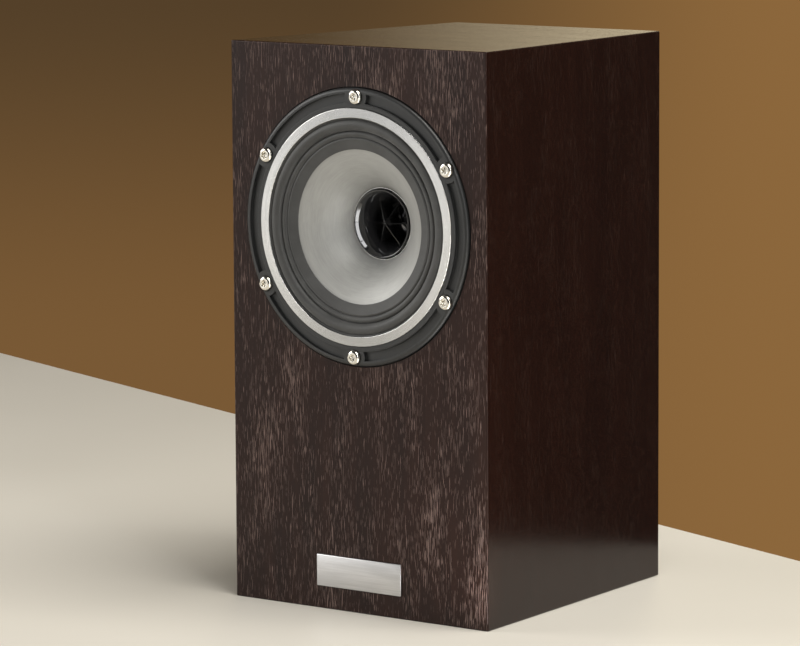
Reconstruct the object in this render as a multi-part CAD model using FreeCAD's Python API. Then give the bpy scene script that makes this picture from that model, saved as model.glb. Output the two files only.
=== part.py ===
"""Compact two-way bookshelf speaker with a coaxial drive unit, in millimetres.

The origin is the centre of the cabinet's underside. +X is to the listener's right, -Y is the
front and +Z is up. Pieces of the drive unit are drawn about the Y axis, with depth 0 on the
baffle's face and growing towards the rear, and are then moved to the drive unit's place.
"""

import FreeCAD, Part
import math
import os

Vector = FreeCAD.Vector
X_AXIS = Vector(1, 0, 0)
Y_AXIS = Vector(0, 1, 0)
Z_AXIS = Vector(0, 0, 1)

# Cabinet: a box whose sides draw in towards the rear
CABINET_HEIGHT = 300.0
FRONT_WIDTH = 168.0
REAR_WIDTH = 137.0
CABINET_DEPTH = 181.0
WALL = 12.0
BAFFLE_WALL = 18.0
REAR_WALL = 15.0
EDGE_ROUND = 0.8
FRONT_Y = -CABINET_DEPTH / 2
REAR_Y = CABINET_DEPTH / 2

# Name plate on the baffle
PLATE_WIDTH = 55.8
PLATE_HEIGHT = 17.0
PLATE_THICKNESS = 1.0
PLATE_BEVEL = 0.35
PLATE_CENTRE_Z = 20.7

# Shelf brace and foam lining
BRACE_LOW_Z = 112.0
BRACE_THICKNESS = 12.0
BRACE_FRONT_Y = -66.0
BRACE_REAR_Y = 66.0
BRACE_BORDER = 22.0
BRACE_FRONT_BORDER = 9.0
LINING_THICKNESS = 8.0
LINING_LENGTH = 112.0
LINING_LOW_Z = 128.0
LINING_HIGH_Z = 284.0
GLUE_GAP = 0.03

# Drive unit: chassis
DRIVER_Z = 205.1
CHASSIS_RADIUS = 73.0
RIM_CREST_RADIUS = 70.7
RIM_CREST_DEPTH = -2.0
RIM_EDGE_DEPTH = -0.7
INNER_RING_DEPTH = -2.15
INNER_RING_RADIUS = 65.0
TRIM_SEAT_RADIUS = 62.75
TRIM_SEAT_DEPTH = -0.75
MOUTH_RADIUS = 58.0
FLANGE_REAR_DEPTH = 2.4
REBATE_RADIUS = 73.7
REBATE_DEPTH = 3.0
CUTOUT_RADIUS = 63.5
BASKET_NECK_RADIUS = 62.6
BASKET_NECK_DEPTH = 7.0
BASKET_WALL = 3.0
BASKET_FOOT_RADIUS = 46.0
BASKET_REAR_DEPTH = 38.0
BASKET_PLATE = 3.0
BASKET_BORE = 24.0
SPIDER_LEDGE_DEPTH = 29.5
SPIDER_LEDGE_RADIUS = 35.0
SPOKES = 6
SPOKE_WIDTH = 9.0
WINDOW_FRONT_DEPTH = 8.5
WINDOW_REAR_DEPTH = 28.0

# Drive unit: recesses between the screw lands, and the fixing screws
SCREWS = 6
SCREW_CIRCLE_RADIUS = 68.5
FIRST_SCREW_DEGREES = 89.2
POCKET_INNER_RADIUS = 65.3
POCKET_OUTER_RADIUS = 70.3
POCKET_FLOOR_DEPTH = -0.2
LAND_RADIUS = 6.9
SPOT_FACE_RADIUS = 4.3
SPOT_FACE_DEPTH = -1.2
SCREW_HEAD_RADIUS = 4.0
SCREW_HEAD_HEIGHT = 2.8
SCREW_RADIUS = 2.0
SCREW_LENGTH = 18.0
SCREW_HOLE_RADIUS = 2.3
LOBE_CIRCLE_RADIUS = 1.45
LOBE_RADIUS = 0.5
SOCKET_SHARE = 0.65
INSERT_RADIUS = 3.5
INSERT_FRONT_DEPTH = 4.0
INSERT_REAR_DEPTH = 16.0
INSERT_BORE = 2.06

# Drive unit: trim ring, surround, cone and coil
TRIM_INNER_RADIUS = 57.5
TRIM_OUTER_RADIUS = 62.6
TRIM_FRONT_DEPTH = -2.35
TRIM_REAR_DEPTH = -1.35
TRIM_ROUND = 0.25
SURROUND_THICKNESS = 0.56
SURROUND_LIP_RADIUS = 62.4
CONE_EDGE_RADIUS = 40.8
CONE_THICKNESS = 0.7
NECK_DEPTH = 21.8
NECK_LENGTH = 3.0
FORMER_INNER_RADIUS = 18.85
FORMER_OUTER_RADIUS = 19.1
FORMER_FRONT_DEPTH = 21.6
COIL_RADIUS = 19.75
COIL_FRONT_DEPTH = 35.5
COIL_REAR_DEPTH = 46.5
SPIDER_THICKNESS = 0.4
SPIDER_WAVES = 5
SPIDER_WAVE_HEIGHT = 1.1
SPIDER_LIP_RADIUS = 42.0

# Drive unit: magnet system
TOP_PLATE_BORE = 20.3
TOP_PLATE_RADIUS = 42.0
TOP_PLATE_REAR_DEPTH = 44.0
MAGNET_BORE = 26.0
MAGNET_RADIUS = 43.0
MAGNET_REAR_DEPTH = 60.0
YOKE_RADIUS = 40.0
YOKE_REAR_DEPTH = 66.0
YOKE_HOLE_RADIUS = 5.0
POLE_RADIUS = 18.4
POLE_BORE = 15.3
PLATE_CHAMFER = 1.2
RIVETS = 4
RIVET_CIRCLE_RADIUS = 29.0
RIVET_RADIUS = 2.0
RIVET_HEAD_RADIUS = 3.4
RIVET_HEAD_HEIGHT = 1.4

# Tweeter: horn, vanes, dome and motor, in the pole's bore
HORN_LIP_RADIUS = 18.1
HORN_LIP_DEPTH = 20.4
HORN_MOUTH_RADIUS = 17.3
HORN_BEVEL_RADIUS = 15.35
HORN_BEVEL_DEPTH = 22.9
HORN_BEND_RADIUS = 12.3
HORN_BEND_DEPTH = 29.0
HORN_THROAT_RADIUS = 10.2
HORN_REAR_DEPTH = 38.0
HORN_FOOT_DEPTH = 35.5
HORN_WALL = 1.6
VANES = 6
VANE_THICKNESS = 0.9
VANE_TIP_DEPTH = 23.6
VANE_REAR_DEPTH = 36.0
VANE_SWEEP = 0.35
PLUG_RADIUS = 2.6
TWEETER_RADIUS = 15.0
DOME_RADIUS = 9.5
DOME_BASE_DEPTH = 41.4
DOME_RISE = 3.9
DOME_THICKNESS = 0.3
DOME_LIP_INNER_RADIUS = 11.6
DOME_LIP_RADIUS = 13.4
TWEETER_COIL_INNER_RADIUS = 9.55
TWEETER_COIL_OUTER_RADIUS = 10.0
TWEETER_COIL_REAR_DEPTH = 45.2
CLAMP_REAR_DEPTH = 41.2
TWEETER_PLATE_FRONT_DEPTH = 41.7
TWEETER_PLATE_REAR_DEPTH = 44.7
TWEETER_PLATE_BORE = 10.4
TWEETER_POLE_RADIUS = 9.2
TWEETER_MAGNET_RADIUS = 9.0
TWEETER_MAGNET_REAR_DEPTH = 54.7
TWEETER_CUP_BORE = 12.5

# Tag board and its flexible leads, under the basket
TAG_BOARD_WIDTH = 38.0
TAG_BOARD_THICKNESS = 1.6
TAG_BOARD_INNER_RADIUS = 42.6
TAG_BOARD_OUTER_RADIUS = 60.0
TAG_PITCH = 9.0
TAG_WIDTH = 4.8
TAG_THICKNESS = 0.8
TAG_REACH = 9.0
LEAD_DIAMETER = 1.2

# Reflex port in the rear panel
PORT_Z = 234.0
PORT_RADIUS = 17.0
PORT_WALL = 2.2
PORT_LENGTH = 82.0
PORT_FLANGE_RADIUS = 29.0
PORT_FLANGE_THICKNESS = 2.5
PORT_FLARE = 7.0
PORT_PANEL_GAP = 0.15

# Terminal plate and binding posts
TERMINAL_Z = 74.0
TERMINAL_WIDTH = 72.0
TERMINAL_HEIGHT = 88.0
TERMINAL_CORNER = 10.0
TERMINAL_THICKNESS = 3.0
TERMINAL_CHAMFER = 0.8
TERMINAL_CUTOUT_WIDTH = 50.0
TERMINAL_CUTOUT_HEIGHT = 66.0
SEAL_THICKNESS = 1.0
TERMINAL_SCREW_X = 30.0
TERMINAL_SCREW_Z = 38.0
TERMINAL_SCREW_RADIUS = 1.75
TERMINAL_SCREW_HEAD_RADIUS = 3.4
TERMINAL_SCREW_HEAD_HEIGHT = 2.0
TERMINAL_SCREW_LENGTH = 14.0
POST_SPACING_X = 26.0
POST_SPACING_Z = 36.0
POST_RADIUS = 3.0
POST_REAR_Y = 114.0
POST_FRONT_Y = 74.0
SOCKET_RADIUS = 2.06
SOCKET_LENGTH = 16.0
WIRE_HOLE_RADIUS = 1.3
COLLAR_RADIUS = 7.6
COLLAR_THICKNESS = 3.0
LINK_THICKNESS = 1.0
LINK_RADIUS = 5.2
CLAMP_WASHER_RADIUS = 6.2
CLAMP_WASHER_THICKNESS = 1.4
CAP_RADIUS = 7.4
CAP_FLUTES = 18
CAP_FLUTE_RADIUS = 0.75
CAP_CHAMFER = 1.0
POST_CLEARANCE = 0.06
NUT_ACROSS_FLATS = 10.0
NUT_THICKNESS = 3.2
LUG_THICKNESS = 0.8

# Crossover board on the cabinet's floor
BOARD_WIDTH = 100.0
BOARD_LENGTH = 84.0
BOARD_THICKNESS = 1.6
BOARD_LOW_Z = 20.0
BOARD_FRONT_Y = -42.0
BOARD_CORNER_INSET = 6.0
STANDOFF_RADIUS = 3.5
BOARD_SCREW_RADIUS = 1.5
BOARD_SCREW_HEAD_RADIUS = 2.8
BOARD_SCREW_HEAD_HEIGHT = 1.8
BOARD_SCREW_LENGTH = 17.0
WIRE_DIAMETER = 2.2


def point(radius, depth):
    """A point of a turned profile: radius from the axis, depth behind the baffle's face."""
    return Vector(radius, depth, 0)


def path(start, *steps):
    """An open wire from start: a step is the next point, or a pair (middle, end) for an arc."""
    edges = []
    here = start
    for step in steps:
        if isinstance(step, tuple):
            middle, end = step
            edges.append(Part.Arc(here, middle, end).toShape())
        else:
            end = step
            edges.append(Part.makeLine(here, end))
        here = end
    return Part.Wire(edges)


def turned(start, *steps):
    """A solid of revolution about the Y axis, from a profile that closes on its start."""
    last = steps[-1][1] if isinstance(steps[-1], tuple) else steps[-1]
    closing = [] if last.isEqual(start, 1e-6) else [start]
    face = Part.Face(path(start, *steps, *closing))
    return face.revolve(Vector(0, 0, 0), Y_AXIS, 360)


def turned_sheet(centre_line, thickness):
    """A thin turned shell whose profile is centre_line, thickened equally to both sides."""
    one_side = centre_line.makeOffset2D(thickness / 2, 0, False, True)
    other_side = centre_line.makeOffset2D(-thickness / 2, 0, False, True)
    ends = []
    for i in (0, -1):
        ends.append(Part.makeLine(one_side.OrderedVertexes[i].Point, other_side.OrderedVertexes[i].Point))
    outline = Part.Wire(Part.__sortEdges__(one_side.Edges + other_side.Edges + ends))
    return Part.Face(outline).revolve(Vector(0, 0, 0), Y_AXIS, 360)


def ring(inner, outer, front, rear, chamfer=0.0):
    """A turned ring or, with inner 0, a disc, with its outer edges chamfered."""
    if not chamfer:
        return turned(point(inner, front), point(outer, front), point(outer, rear), point(inner, rear))
    return turned(
        point(inner, front),
        point(outer - chamfer, front),
        point(outer, front + chamfer),
        point(outer, rear - chamfer),
        point(outer - chamfer, rear),
        point(inner, rear),
    )


def rod(centre, radius, front, rear):
    """A cylinder along Y through centre, from front to rear."""
    return Part.makeCylinder(radius, rear - front, Vector(centre.x, front, centre.z), Y_AXIS)


def block(centre_x, width, front, rear, low, high):
    """A box from its width about centre_x, its Y span and its Z span."""
    return Part.makeBox(width, rear - front, high - low, Vector(centre_x - width / 2, front, low))


def fused(shapes):
    """The shapes as one solid."""
    whole = shapes[0].multiFuse(shapes[1:]) if len(shapes) > 1 else shapes[0]
    return whole.removeSplitter()


def group(shapes):
    """Identical or related solids kept apart in one node."""
    return Part.makeCompound(shapes)


def around(count, radius, first_degrees=90.0):
    """Centres of count pieces evenly spaced on a circle about the Y axis."""
    step = 360.0 / count
    angles = [math.radians(first_degrees + step * i) for i in range(count)]
    return [Vector(radius * math.cos(a), 0, radius * math.sin(a)) for a in angles]


def screw_centres():
    """The six screw positions on the drive unit's flange."""
    return around(SCREWS, SCREW_CIRCLE_RADIUS, FIRST_SCREW_DEGREES)


def rivet_centres():
    """The positions of the rivets that join the basket to its pole plate."""
    return around(RIVETS, RIVET_CIRCLE_RADIUS, first_degrees=45.0)


def in_cabinet(shape):
    """Moves a piece of the drive unit from its own axis to its place in the baffle."""
    moved = shape.copy()
    moved.translate(Vector(0, FRONT_Y, DRIVER_Z))
    return moved


def tube_along(points, diameter):
    """A wire or lead: straight runs joined by arcs as large as the two runs allow."""
    edges = []
    here = points[0]
    for before, corner, after in zip(points, points[1:], points[2:]):
        arriving = (corner - before).normalize()
        leaving = (after - corner).normalize()
        reach = 0.45 * min((corner - before).Length, (after - corner).Length)
        half_turn = arriving.getAngle(leaving) / 2
        radius = reach / math.tan(half_turn)
        inward = (leaving - arriving).normalize()
        middle = corner + inward * (radius / math.cos(half_turn) - radius)
        start, end = corner - arriving * reach, corner + leaving * reach
        edges.append(Part.makeLine(here, start))
        edges.append(Part.Arc(start, middle, end).toShape())
        here = end
    edges.append(Part.makeLine(here, points[-1]))
    section = Part.Face(Part.Wire(Part.makeCircle(diameter / 2, points[0], points[1] - points[0])))
    return Part.Wire(edges).makePipe(section)


# --- Cabinet ---------------------------------------------------------------------------------


def half_width(y):
    """Half the cabinet's outer width at a distance y behind its centre."""
    share = (y - FRONT_Y) / CABINET_DEPTH
    return FRONT_WIDTH / 2 + (REAR_WIDTH - FRONT_WIDTH) / 2 * share


def inner_half_width(y):
    """Half the cabinet's clear width inside at y."""
    taper = math.atan((FRONT_WIDTH - REAR_WIDTH) / 2 / CABINET_DEPTH)
    return half_width(y) - WALL / math.cos(taper)


def outer_corner(side, end, level):
    """A corner of the cabinet's outside; side, end and level are each -1 or +1."""
    y = end * CABINET_DEPTH / 2
    return Vector(side * half_width(y), y, CABINET_HEIGHT * (level + 1) / 2)


def inner_corner(side, end, level):
    """The corner of the cabinet's inside that belongs to the same outer corner."""
    y = FRONT_Y + BAFFLE_WALL if end < 0 else REAR_Y - REAR_WALL
    z = CABINET_HEIGHT - WALL if level > 0 else WALL
    return Vector(side * inner_half_width(y), y, z)


def six_sided(near, far):
    """A solid between two four-cornered faces whose corners match."""
    loops = [near, far]
    loops += [[near[i], near[(i + 1) % 4], far[(i + 1) % 4], far[i]] for i in range(4)]
    faces = [Part.Face(Part.makePolygon(loop + [loop[0]])) for loop in loops]
    solid = Part.Solid(Part.Shell(faces))
    if solid.Volume < 0:
        solid.reverse()
    return solid


def rounded_outside():
    """The cabinet's outside as one solid, with its edges eased."""
    corners = [outer_corner(s, e, -1) for s, e in ((-1, -1), (1, -1), (1, 1), (-1, 1))]
    body = Part.Face(Part.makePolygon(corners + [corners[0]])).extrude(Z_AXIS * CABINET_HEIGHT)
    return body.makeFillet(EDGE_ROUND, body.Edges)


def mitred_panel(outside, corner_signs):
    """One wall of the cabinet, mitred to its four neighbours."""
    past_outside = 1.5
    near = [inner_corner(*signs) for signs in corner_signs]
    far = [a + (outer_corner(*signs) - a) * past_outside for a, signs in zip(near, corner_signs)]
    return outside.common(six_sided(near, far))


def cabinet_panels():
    """The six walls before their openings are cut."""
    outside = rounded_outside()
    square = ((-1, -1), (1, -1), (1, 1), (-1, 1))
    return {
        "cabinet_top": mitred_panel(outside, [(a, b, 1) for a, b in square]),
        "cabinet_bottom": mitred_panel(outside, [(a, b, -1) for a, b in square]),
        "cabinet_left_side": mitred_panel(outside, [(-1, a, b) for a, b in square]),
        "cabinet_right_side": mitred_panel(outside, [(1, a, b) for a, b in square]),
        "front_baffle": mitred_panel(outside, [(a, -1, b) for a, b in square]),
        "rear_panel": mitred_panel(outside, [(a, 1, b) for a, b in square]),
    }


def machined_baffle(panel):
    """The baffle with the drive unit's cut-out, its rebate and the holes for the inserts."""
    cuts = [
        rod(Vector(0, 0, 0), CUTOUT_RADIUS, -1, BAFFLE_WALL + 1),
        rod(Vector(0, 0, 0), REBATE_RADIUS, -1, REBATE_DEPTH),
    ]
    for centre in screw_centres():
        cuts.append(rod(centre, INSERT_RADIUS + GLUE_GAP, REBATE_DEPTH - 1, BAFFLE_WALL + 1))
    return panel.cut([in_cabinet(cut) for cut in cuts])


def machined_rear(panel):
    """The rear panel with the port's stepped hole, the terminals' cut-out and screw holes."""
    port = Vector(0, 0, PORT_Z)
    tube_hole = PORT_RADIUS + PORT_WALL + PORT_PANEL_GAP
    flange_hole = PORT_FLANGE_RADIUS + PORT_PANEL_GAP
    cuts = [
        rod(port, tube_hole, REAR_Y - REAR_WALL - 1, REAR_Y + 1),
        rod(port, flange_hole, REAR_Y - PORT_FLANGE_THICKNESS, REAR_Y + 1),
        block(
            0,
            TERMINAL_CUTOUT_WIDTH,
            REAR_Y - REAR_WALL - 1,
            REAR_Y + 1,
            TERMINAL_Z - TERMINAL_CUTOUT_HEIGHT / 2,
            TERMINAL_Z + TERMINAL_CUTOUT_HEIGHT / 2,
        ),
    ]
    for centre in terminal_screw_centres():
        end = REAR_Y + SEAL_THICKNESS + TERMINAL_THICKNESS - TERMINAL_SCREW_LENGTH
        cuts.append(rod(centre, TERMINAL_SCREW_RADIUS + GLUE_GAP, end, REAR_Y + 1))
    return panel.cut(cuts)


def drilled_bottom(panel):
    """The bottom panel with pilot holes for the crossover's screws."""
    cuts = []
    for x, y in board_corners():
        end = BOARD_LOW_Z + BOARD_THICKNESS - BOARD_SCREW_LENGTH
        radius = BOARD_SCREW_RADIUS + GLUE_GAP
        cuts.append(Part.makeCylinder(radius, WALL + 1 - end, Vector(x, y, end), Z_AXIS))
    return panel.cut(cuts)


def shelf_brace():
    """A windowed shelf across the cabinet that stiffens its sides."""
    low, high = BRACE_LOW_Z, BRACE_LOW_Z + BRACE_THICKNESS
    plan = []
    for side, y in ((-1, BRACE_FRONT_Y), (1, BRACE_FRONT_Y), (1, BRACE_REAR_Y), (-1, BRACE_REAR_Y)):
        plan.append((side, y, inner_half_width(y) - GLUE_GAP))
    near = [Vector(side * reach, y, low) for side, y, reach in plan]
    far = [Vector(side * reach, y, high) for side, y, reach in plan]
    rear_reach = inner_half_width(BRACE_REAR_Y) - BRACE_BORDER
    front, rear = BRACE_FRONT_Y + BRACE_FRONT_BORDER, BRACE_REAR_Y - BRACE_BORDER
    window = block(0, 2 * rear_reach, front, rear, low - 1, high + 1)
    upright = [edge for edge in window.Edges if abs(edge.tangentAt(edge.FirstParameter).z) > 0.9]
    return six_sided(near, far).cut(window.makeFillet(BRACE_BORDER / 2, upright))


def foam_lining():
    """Two foam sheets glued to the side walls behind the drive unit."""
    sheets = []
    for side in (-1, 1):
        near, far = [], []
        for y in (-LINING_LENGTH / 2, LINING_LENGTH / 2):
            wall_x = inner_half_width(y) - GLUE_GAP
            for z in (LINING_LOW_Z, LINING_HIGH_Z):
                far.append(Vector(side * wall_x, y, z))
                near.append(Vector(side * (wall_x - LINING_THICKNESS), y, z))
        order = (0, 1, 3, 2)
        sheets.append(six_sided([near[i] for i in order], [far[i] for i in order]))
    return group(sheets)


def name_plate():
    """A blank bevelled metal plate on the baffle."""
    plate = block(
        0,
        PLATE_WIDTH,
        FRONT_Y - PLATE_THICKNESS,
        FRONT_Y,
        PLATE_CENTRE_Z - PLATE_HEIGHT / 2,
        PLATE_CENTRE_Z + PLATE_HEIGHT / 2,
    )
    front_face = min(plate.Faces, key=lambda face: face.CenterOfMass.y)
    return plate.makeChamfer(PLATE_BEVEL, front_face.Edges)


# --- Drive unit: fixed pieces ----------------------------------------------------------------


def flange_pockets():
    """The six recesses of the flange, each ending in an arc about the screw beside it."""
    ring_cut = ring(POCKET_INNER_RADIUS, POCKET_OUTER_RADIUS, INNER_RING_DEPTH - 1, POCKET_FLOOR_DEPTH)
    lands = [rod(c, LAND_RADIUS, -10, 10) for c in screw_centres()]
    return ring_cut.cut(lands).Solids


def basket_windows():
    """Wedges that open the basket's cone between its spokes."""
    shell = ring(0, CHASSIS_RADIUS, WINDOW_FRONT_DEPTH, WINDOW_REAR_DEPTH)
    spokes = []
    for centre in around(SPOKES, 1.0, first_degrees=0.0):
        spoke = block(0, SPOKE_WIDTH, 0, BASKET_REAR_DEPTH, 0, CHASSIS_RADIUS + 5)
        spoke.rotate(Vector(0, 0, 0), Y_AXIS, math.degrees(math.atan2(centre.x, centre.z)))
        spokes.append(spoke)
    return shell.cut(spokes).Solids


def chassis():
    """The cast frame: flange, basket with six spokes, spider ledge and rear plate."""
    body = turned(
        point(TRIM_SEAT_RADIUS, INNER_RING_DEPTH + 0.2),
        point(TRIM_SEAT_RADIUS + 0.2, INNER_RING_DEPTH),
        point(INNER_RING_RADIUS - 0.2, INNER_RING_DEPTH),
        point(INNER_RING_RADIUS, INNER_RING_DEPTH + 0.2),
        point(INNER_RING_RADIUS, RIM_CREST_DEPTH),
        point(RIM_CREST_RADIUS, RIM_CREST_DEPTH),
        (point(RIM_CREST_RADIUS + 1.7, RIM_CREST_DEPTH + 0.45), point(CHASSIS_RADIUS, RIM_EDGE_DEPTH)),
        point(CHASSIS_RADIUS, FLANGE_REAR_DEPTH),
        point(BASKET_NECK_RADIUS, FLANGE_REAR_DEPTH),
        point(BASKET_NECK_RADIUS, BASKET_NECK_DEPTH),
        point(BASKET_FOOT_RADIUS + 1, SPIDER_LEDGE_DEPTH + 2),
        point(BASKET_FOOT_RADIUS, BASKET_REAR_DEPTH),
        point(BASKET_BORE, BASKET_REAR_DEPTH),
        point(BASKET_BORE, BASKET_REAR_DEPTH - BASKET_PLATE),
        point(SPIDER_LEDGE_RADIUS, BASKET_REAR_DEPTH - BASKET_PLATE),
        point(SPIDER_LEDGE_RADIUS, SPIDER_LEDGE_DEPTH),
        point(BASKET_FOOT_RADIUS + 1 - BASKET_WALL, SPIDER_LEDGE_DEPTH),
        point(BASKET_NECK_RADIUS - BASKET_WALL, BASKET_NECK_DEPTH),
        point(BASKET_NECK_RADIUS - BASKET_WALL, FLANGE_REAR_DEPTH),
        point(MOUTH_RADIUS, FLANGE_REAR_DEPTH - 1),
        point(MOUTH_RADIUS, TRIM_SEAT_DEPTH),
        point(TRIM_SEAT_RADIUS, TRIM_SEAT_DEPTH),
    )
    cuts = flange_pockets() + basket_windows()
    for centre in screw_centres():
        cuts.append(rod(centre, SCREW_HOLE_RADIUS, -10, FLANGE_REAR_DEPTH + 1))
        cuts.append(rod(centre, SPOT_FACE_RADIUS, -10, SPOT_FACE_DEPTH))
    for centre in rivet_centres():
        cuts.append(rod(centre, RIVET_RADIUS + GLUE_GAP, BASKET_REAR_DEPTH - 10, BASKET_REAR_DEPTH + 1))
    return body.cut(cuts)


def chassis_gasket():
    """The foam ring in the baffle's rebate, with holes for the screws."""
    gasket = ring(CUTOUT_RADIUS + 0.5, CHASSIS_RADIUS - 0.5, FLANGE_REAR_DEPTH, REBATE_DEPTH)
    holes = [rod(c, SCREW_HOLE_RADIUS, 0, 10) for c in screw_centres()]
    return gasket.cut(holes)


def button_screw(head_radius, head_height, radius, length):
    """A domed screw along Y with its head's seat at depth 0 and a six-lobed socket."""
    side = head_height * 0.35
    screw = turned(
        point(0, -head_height),
        point(head_radius * 0.6, -head_height),
        (point(head_radius * 0.88, -head_height * 0.8), point(head_radius, -side)),
        point(head_radius, 0),
        point(radius, 0),
        point(radius, length - radius),
        point(0, length),
    )
    front, floor = -head_height - 1, (SOCKET_SHARE - 1) * head_height
    socket = [rod(c, LOBE_RADIUS, front, floor) for c in around(6, LOBE_CIRCLE_RADIUS)]
    socket.append(rod(Vector(0, 0, 0), LOBE_CIRCLE_RADIUS, front, floor))
    return screw.cut(socket)


def moved_to(shape, centre, depth=0.0):
    """A copy of a piece drawn about the Y axis, moved to centre and depth."""
    copy = shape.copy()
    copy.translate(Vector(centre.x, depth, centre.z))
    return copy


def driver_screws():
    """The six screws that hold the chassis to the baffle."""
    screw = button_screw(SCREW_HEAD_RADIUS, SCREW_HEAD_HEIGHT, SCREW_RADIUS, SCREW_LENGTH)
    return group([moved_to(screw, c, SPOT_FACE_DEPTH) for c in screw_centres()])


def baffle_inserts():
    """Threaded brass inserts in the baffle, one behind each screw."""
    insert = ring(INSERT_BORE, INSERT_RADIUS, INSERT_FRONT_DEPTH, INSERT_REAR_DEPTH, 0.4)
    return group([moved_to(insert, c) for c in screw_centres()])


def trim_ring():
    """The satin metal ring that covers the surround's outer lip."""
    r = TRIM_ROUND
    inner, outer, front = TRIM_INNER_RADIUS, TRIM_OUTER_RADIUS, TRIM_FRONT_DEPTH
    corner = r * (1 - math.sqrt(0.5))
    return turned(
        point(inner, TRIM_REAR_DEPTH),
        point(inner, front + r),
        (point(inner + corner, front + corner), point(inner + r, front)),
        point(outer - r, front),
        (point(outer - corner, front + corner), point(outer, front + r)),
        point(outer, TRIM_REAR_DEPTH),
    )


def top_plate():
    """The front pole plate, drilled for the rivets that hold it to the basket."""
    front, rear = BASKET_REAR_DEPTH, TOP_PLATE_REAR_DEPTH
    plate = ring(TOP_PLATE_BORE, TOP_PLATE_RADIUS, front, rear, PLATE_CHAMFER / 2)
    bore = RIVET_RADIUS + GLUE_GAP
    return plate.cut([rod(c, bore, front - 1, rear - 1) for c in rivet_centres()])


def chassis_rivets():
    """Four rivets through the basket's rear plate into the front pole plate."""
    seat = BASKET_REAR_DEPTH - BASKET_PLATE
    rivets = []
    for centre in rivet_centres():
        head = rod(centre, RIVET_HEAD_RADIUS, seat - RIVET_HEAD_HEIGHT, seat)
        head = head.makeChamfer(RIVET_HEAD_HEIGHT / 2, [head.Edges[2]])
        shank = rod(centre, RIVET_RADIUS, seat, TOP_PLATE_REAR_DEPTH - 1.2)
        rivets.append(fused([head, shank]))
    return group(rivets)


def magnet_ring():
    """The ferrite ring between the two pole plates."""
    return ring(MAGNET_BORE, MAGNET_RADIUS, TOP_PLATE_REAR_DEPTH, MAGNET_REAR_DEPTH, PLATE_CHAMFER)


def yoke():
    """The rear plate and the hollow pole, forged as one."""
    plate = ring(YOKE_HOLE_RADIUS, YOKE_RADIUS, MAGNET_REAR_DEPTH, YOKE_REAR_DEPTH, PLATE_CHAMFER)
    pole = ring(POLE_BORE, POLE_RADIUS, BASKET_REAR_DEPTH, MAGNET_REAR_DEPTH)
    return fused([plate, pole])


# --- Tweeter ---------------------------------------------------------------------------------


def horn_wall(offset=0.0):
    """The horn's inner line from its bevel to its throat, moved inwards by offset."""
    bevel = point(HORN_BEVEL_RADIUS - offset, HORN_BEVEL_DEPTH)
    bend = point(HORN_BEND_RADIUS - offset, HORN_BEND_DEPTH)
    throat = point(HORN_THROAT_RADIUS - offset, HORN_REAR_DEPTH)
    return bevel, bend, throat


def tweeter_horn():
    """The glossy horn in the middle of the cone, standing on the pole."""
    bevel, bend, throat = horn_wall()
    mouth = point(HORN_MOUTH_RADIUS, HORN_LIP_DEPTH + 0.35)
    return turned(
        mouth,
        bevel,
        (bend, throat),
        point(POLE_RADIUS - 0.1, HORN_REAR_DEPTH),
        point(POLE_RADIUS - 0.1, HORN_FOOT_DEPTH),
        point(HORN_THROAT_RADIUS + 3, HORN_FOOT_DEPTH),
        (point(bend.x + HORN_WALL, bend.y), point(HORN_LIP_RADIUS, HORN_LIP_DEPTH + 0.9)),
        (point(HORN_LIP_RADIUS - 0.3, HORN_LIP_DEPTH + 0.15), mouth),
    )


def phase_plug():
    """A pointed plug with six swept vanes that reach the horn's wall."""
    bevel, bend, throat = horn_wall(GLUE_GAP)
    bore = turned(point(0, bevel.y), bevel, (bend, throat), point(0, throat.y))
    reach = HORN_LIP_RADIUS
    swept = turned(
        point(0, VANE_TIP_DEPTH),
        point(reach, VANE_TIP_DEPTH + VANE_SWEEP * reach),
        point(reach, VANE_REAR_DEPTH),
        point(0, VANE_REAR_DEPTH),
    )
    blades = []
    for centre in around(VANES, 1.0, first_degrees=0.0):
        blade = block(0, VANE_THICKNESS, VANE_TIP_DEPTH, VANE_REAR_DEPTH, 0, reach)
        blade.rotate(Vector(0, 0, 0), Y_AXIS, math.degrees(math.atan2(centre.x, centre.z)))
        blades.append(blade)
    core = turned(
        point(0, VANE_TIP_DEPTH - 0.6),
        (point(PLUG_RADIUS * 0.8, VANE_TIP_DEPTH + 3.2), point(PLUG_RADIUS, VANE_TIP_DEPTH + 8)),
        point(PLUG_RADIUS * 0.8, VANE_REAR_DEPTH),
        point(0, VANE_REAR_DEPTH),
    )
    return fused([fused(blades).common(swept).common(bore), core])


def tweeter_motor():
    """The plain rings and discs about the dome's coil."""
    front, rear = TWEETER_PLATE_FRONT_DEPTH, TWEETER_PLATE_REAR_DEPTH
    coil_inner, coil_outer = TWEETER_COIL_INNER_RADIUS, TWEETER_COIL_OUTER_RADIUS
    return {
        "tweeter_clamp_ring": ring(DOME_LIP_INNER_RADIUS, TWEETER_RADIUS, HORN_REAR_DEPTH, CLAMP_REAR_DEPTH),
        "tweeter_front_plate": ring(TWEETER_PLATE_BORE, TWEETER_RADIUS, front, rear),
        "tweeter_pole_disc": ring(0, TWEETER_POLE_RADIUS, front, rear),
        "tweeter_magnet": ring(0, TWEETER_MAGNET_RADIUS, rear, TWEETER_MAGNET_REAR_DEPTH),
        "tweeter_voice_coil": ring(coil_inner, coil_outer, front, TWEETER_COIL_REAR_DEPTH),
    }


def tweeter_cup():
    """The steel pot that closes the tweeter's magnetic circuit."""
    wall = ring(TWEETER_CUP_BORE, TWEETER_RADIUS, TWEETER_PLATE_REAR_DEPTH, TWEETER_MAGNET_REAR_DEPTH)
    floor = ring(0, TWEETER_RADIUS, TWEETER_MAGNET_REAR_DEPTH, MAGNET_REAR_DEPTH)
    return fused([wall, floor])


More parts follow.
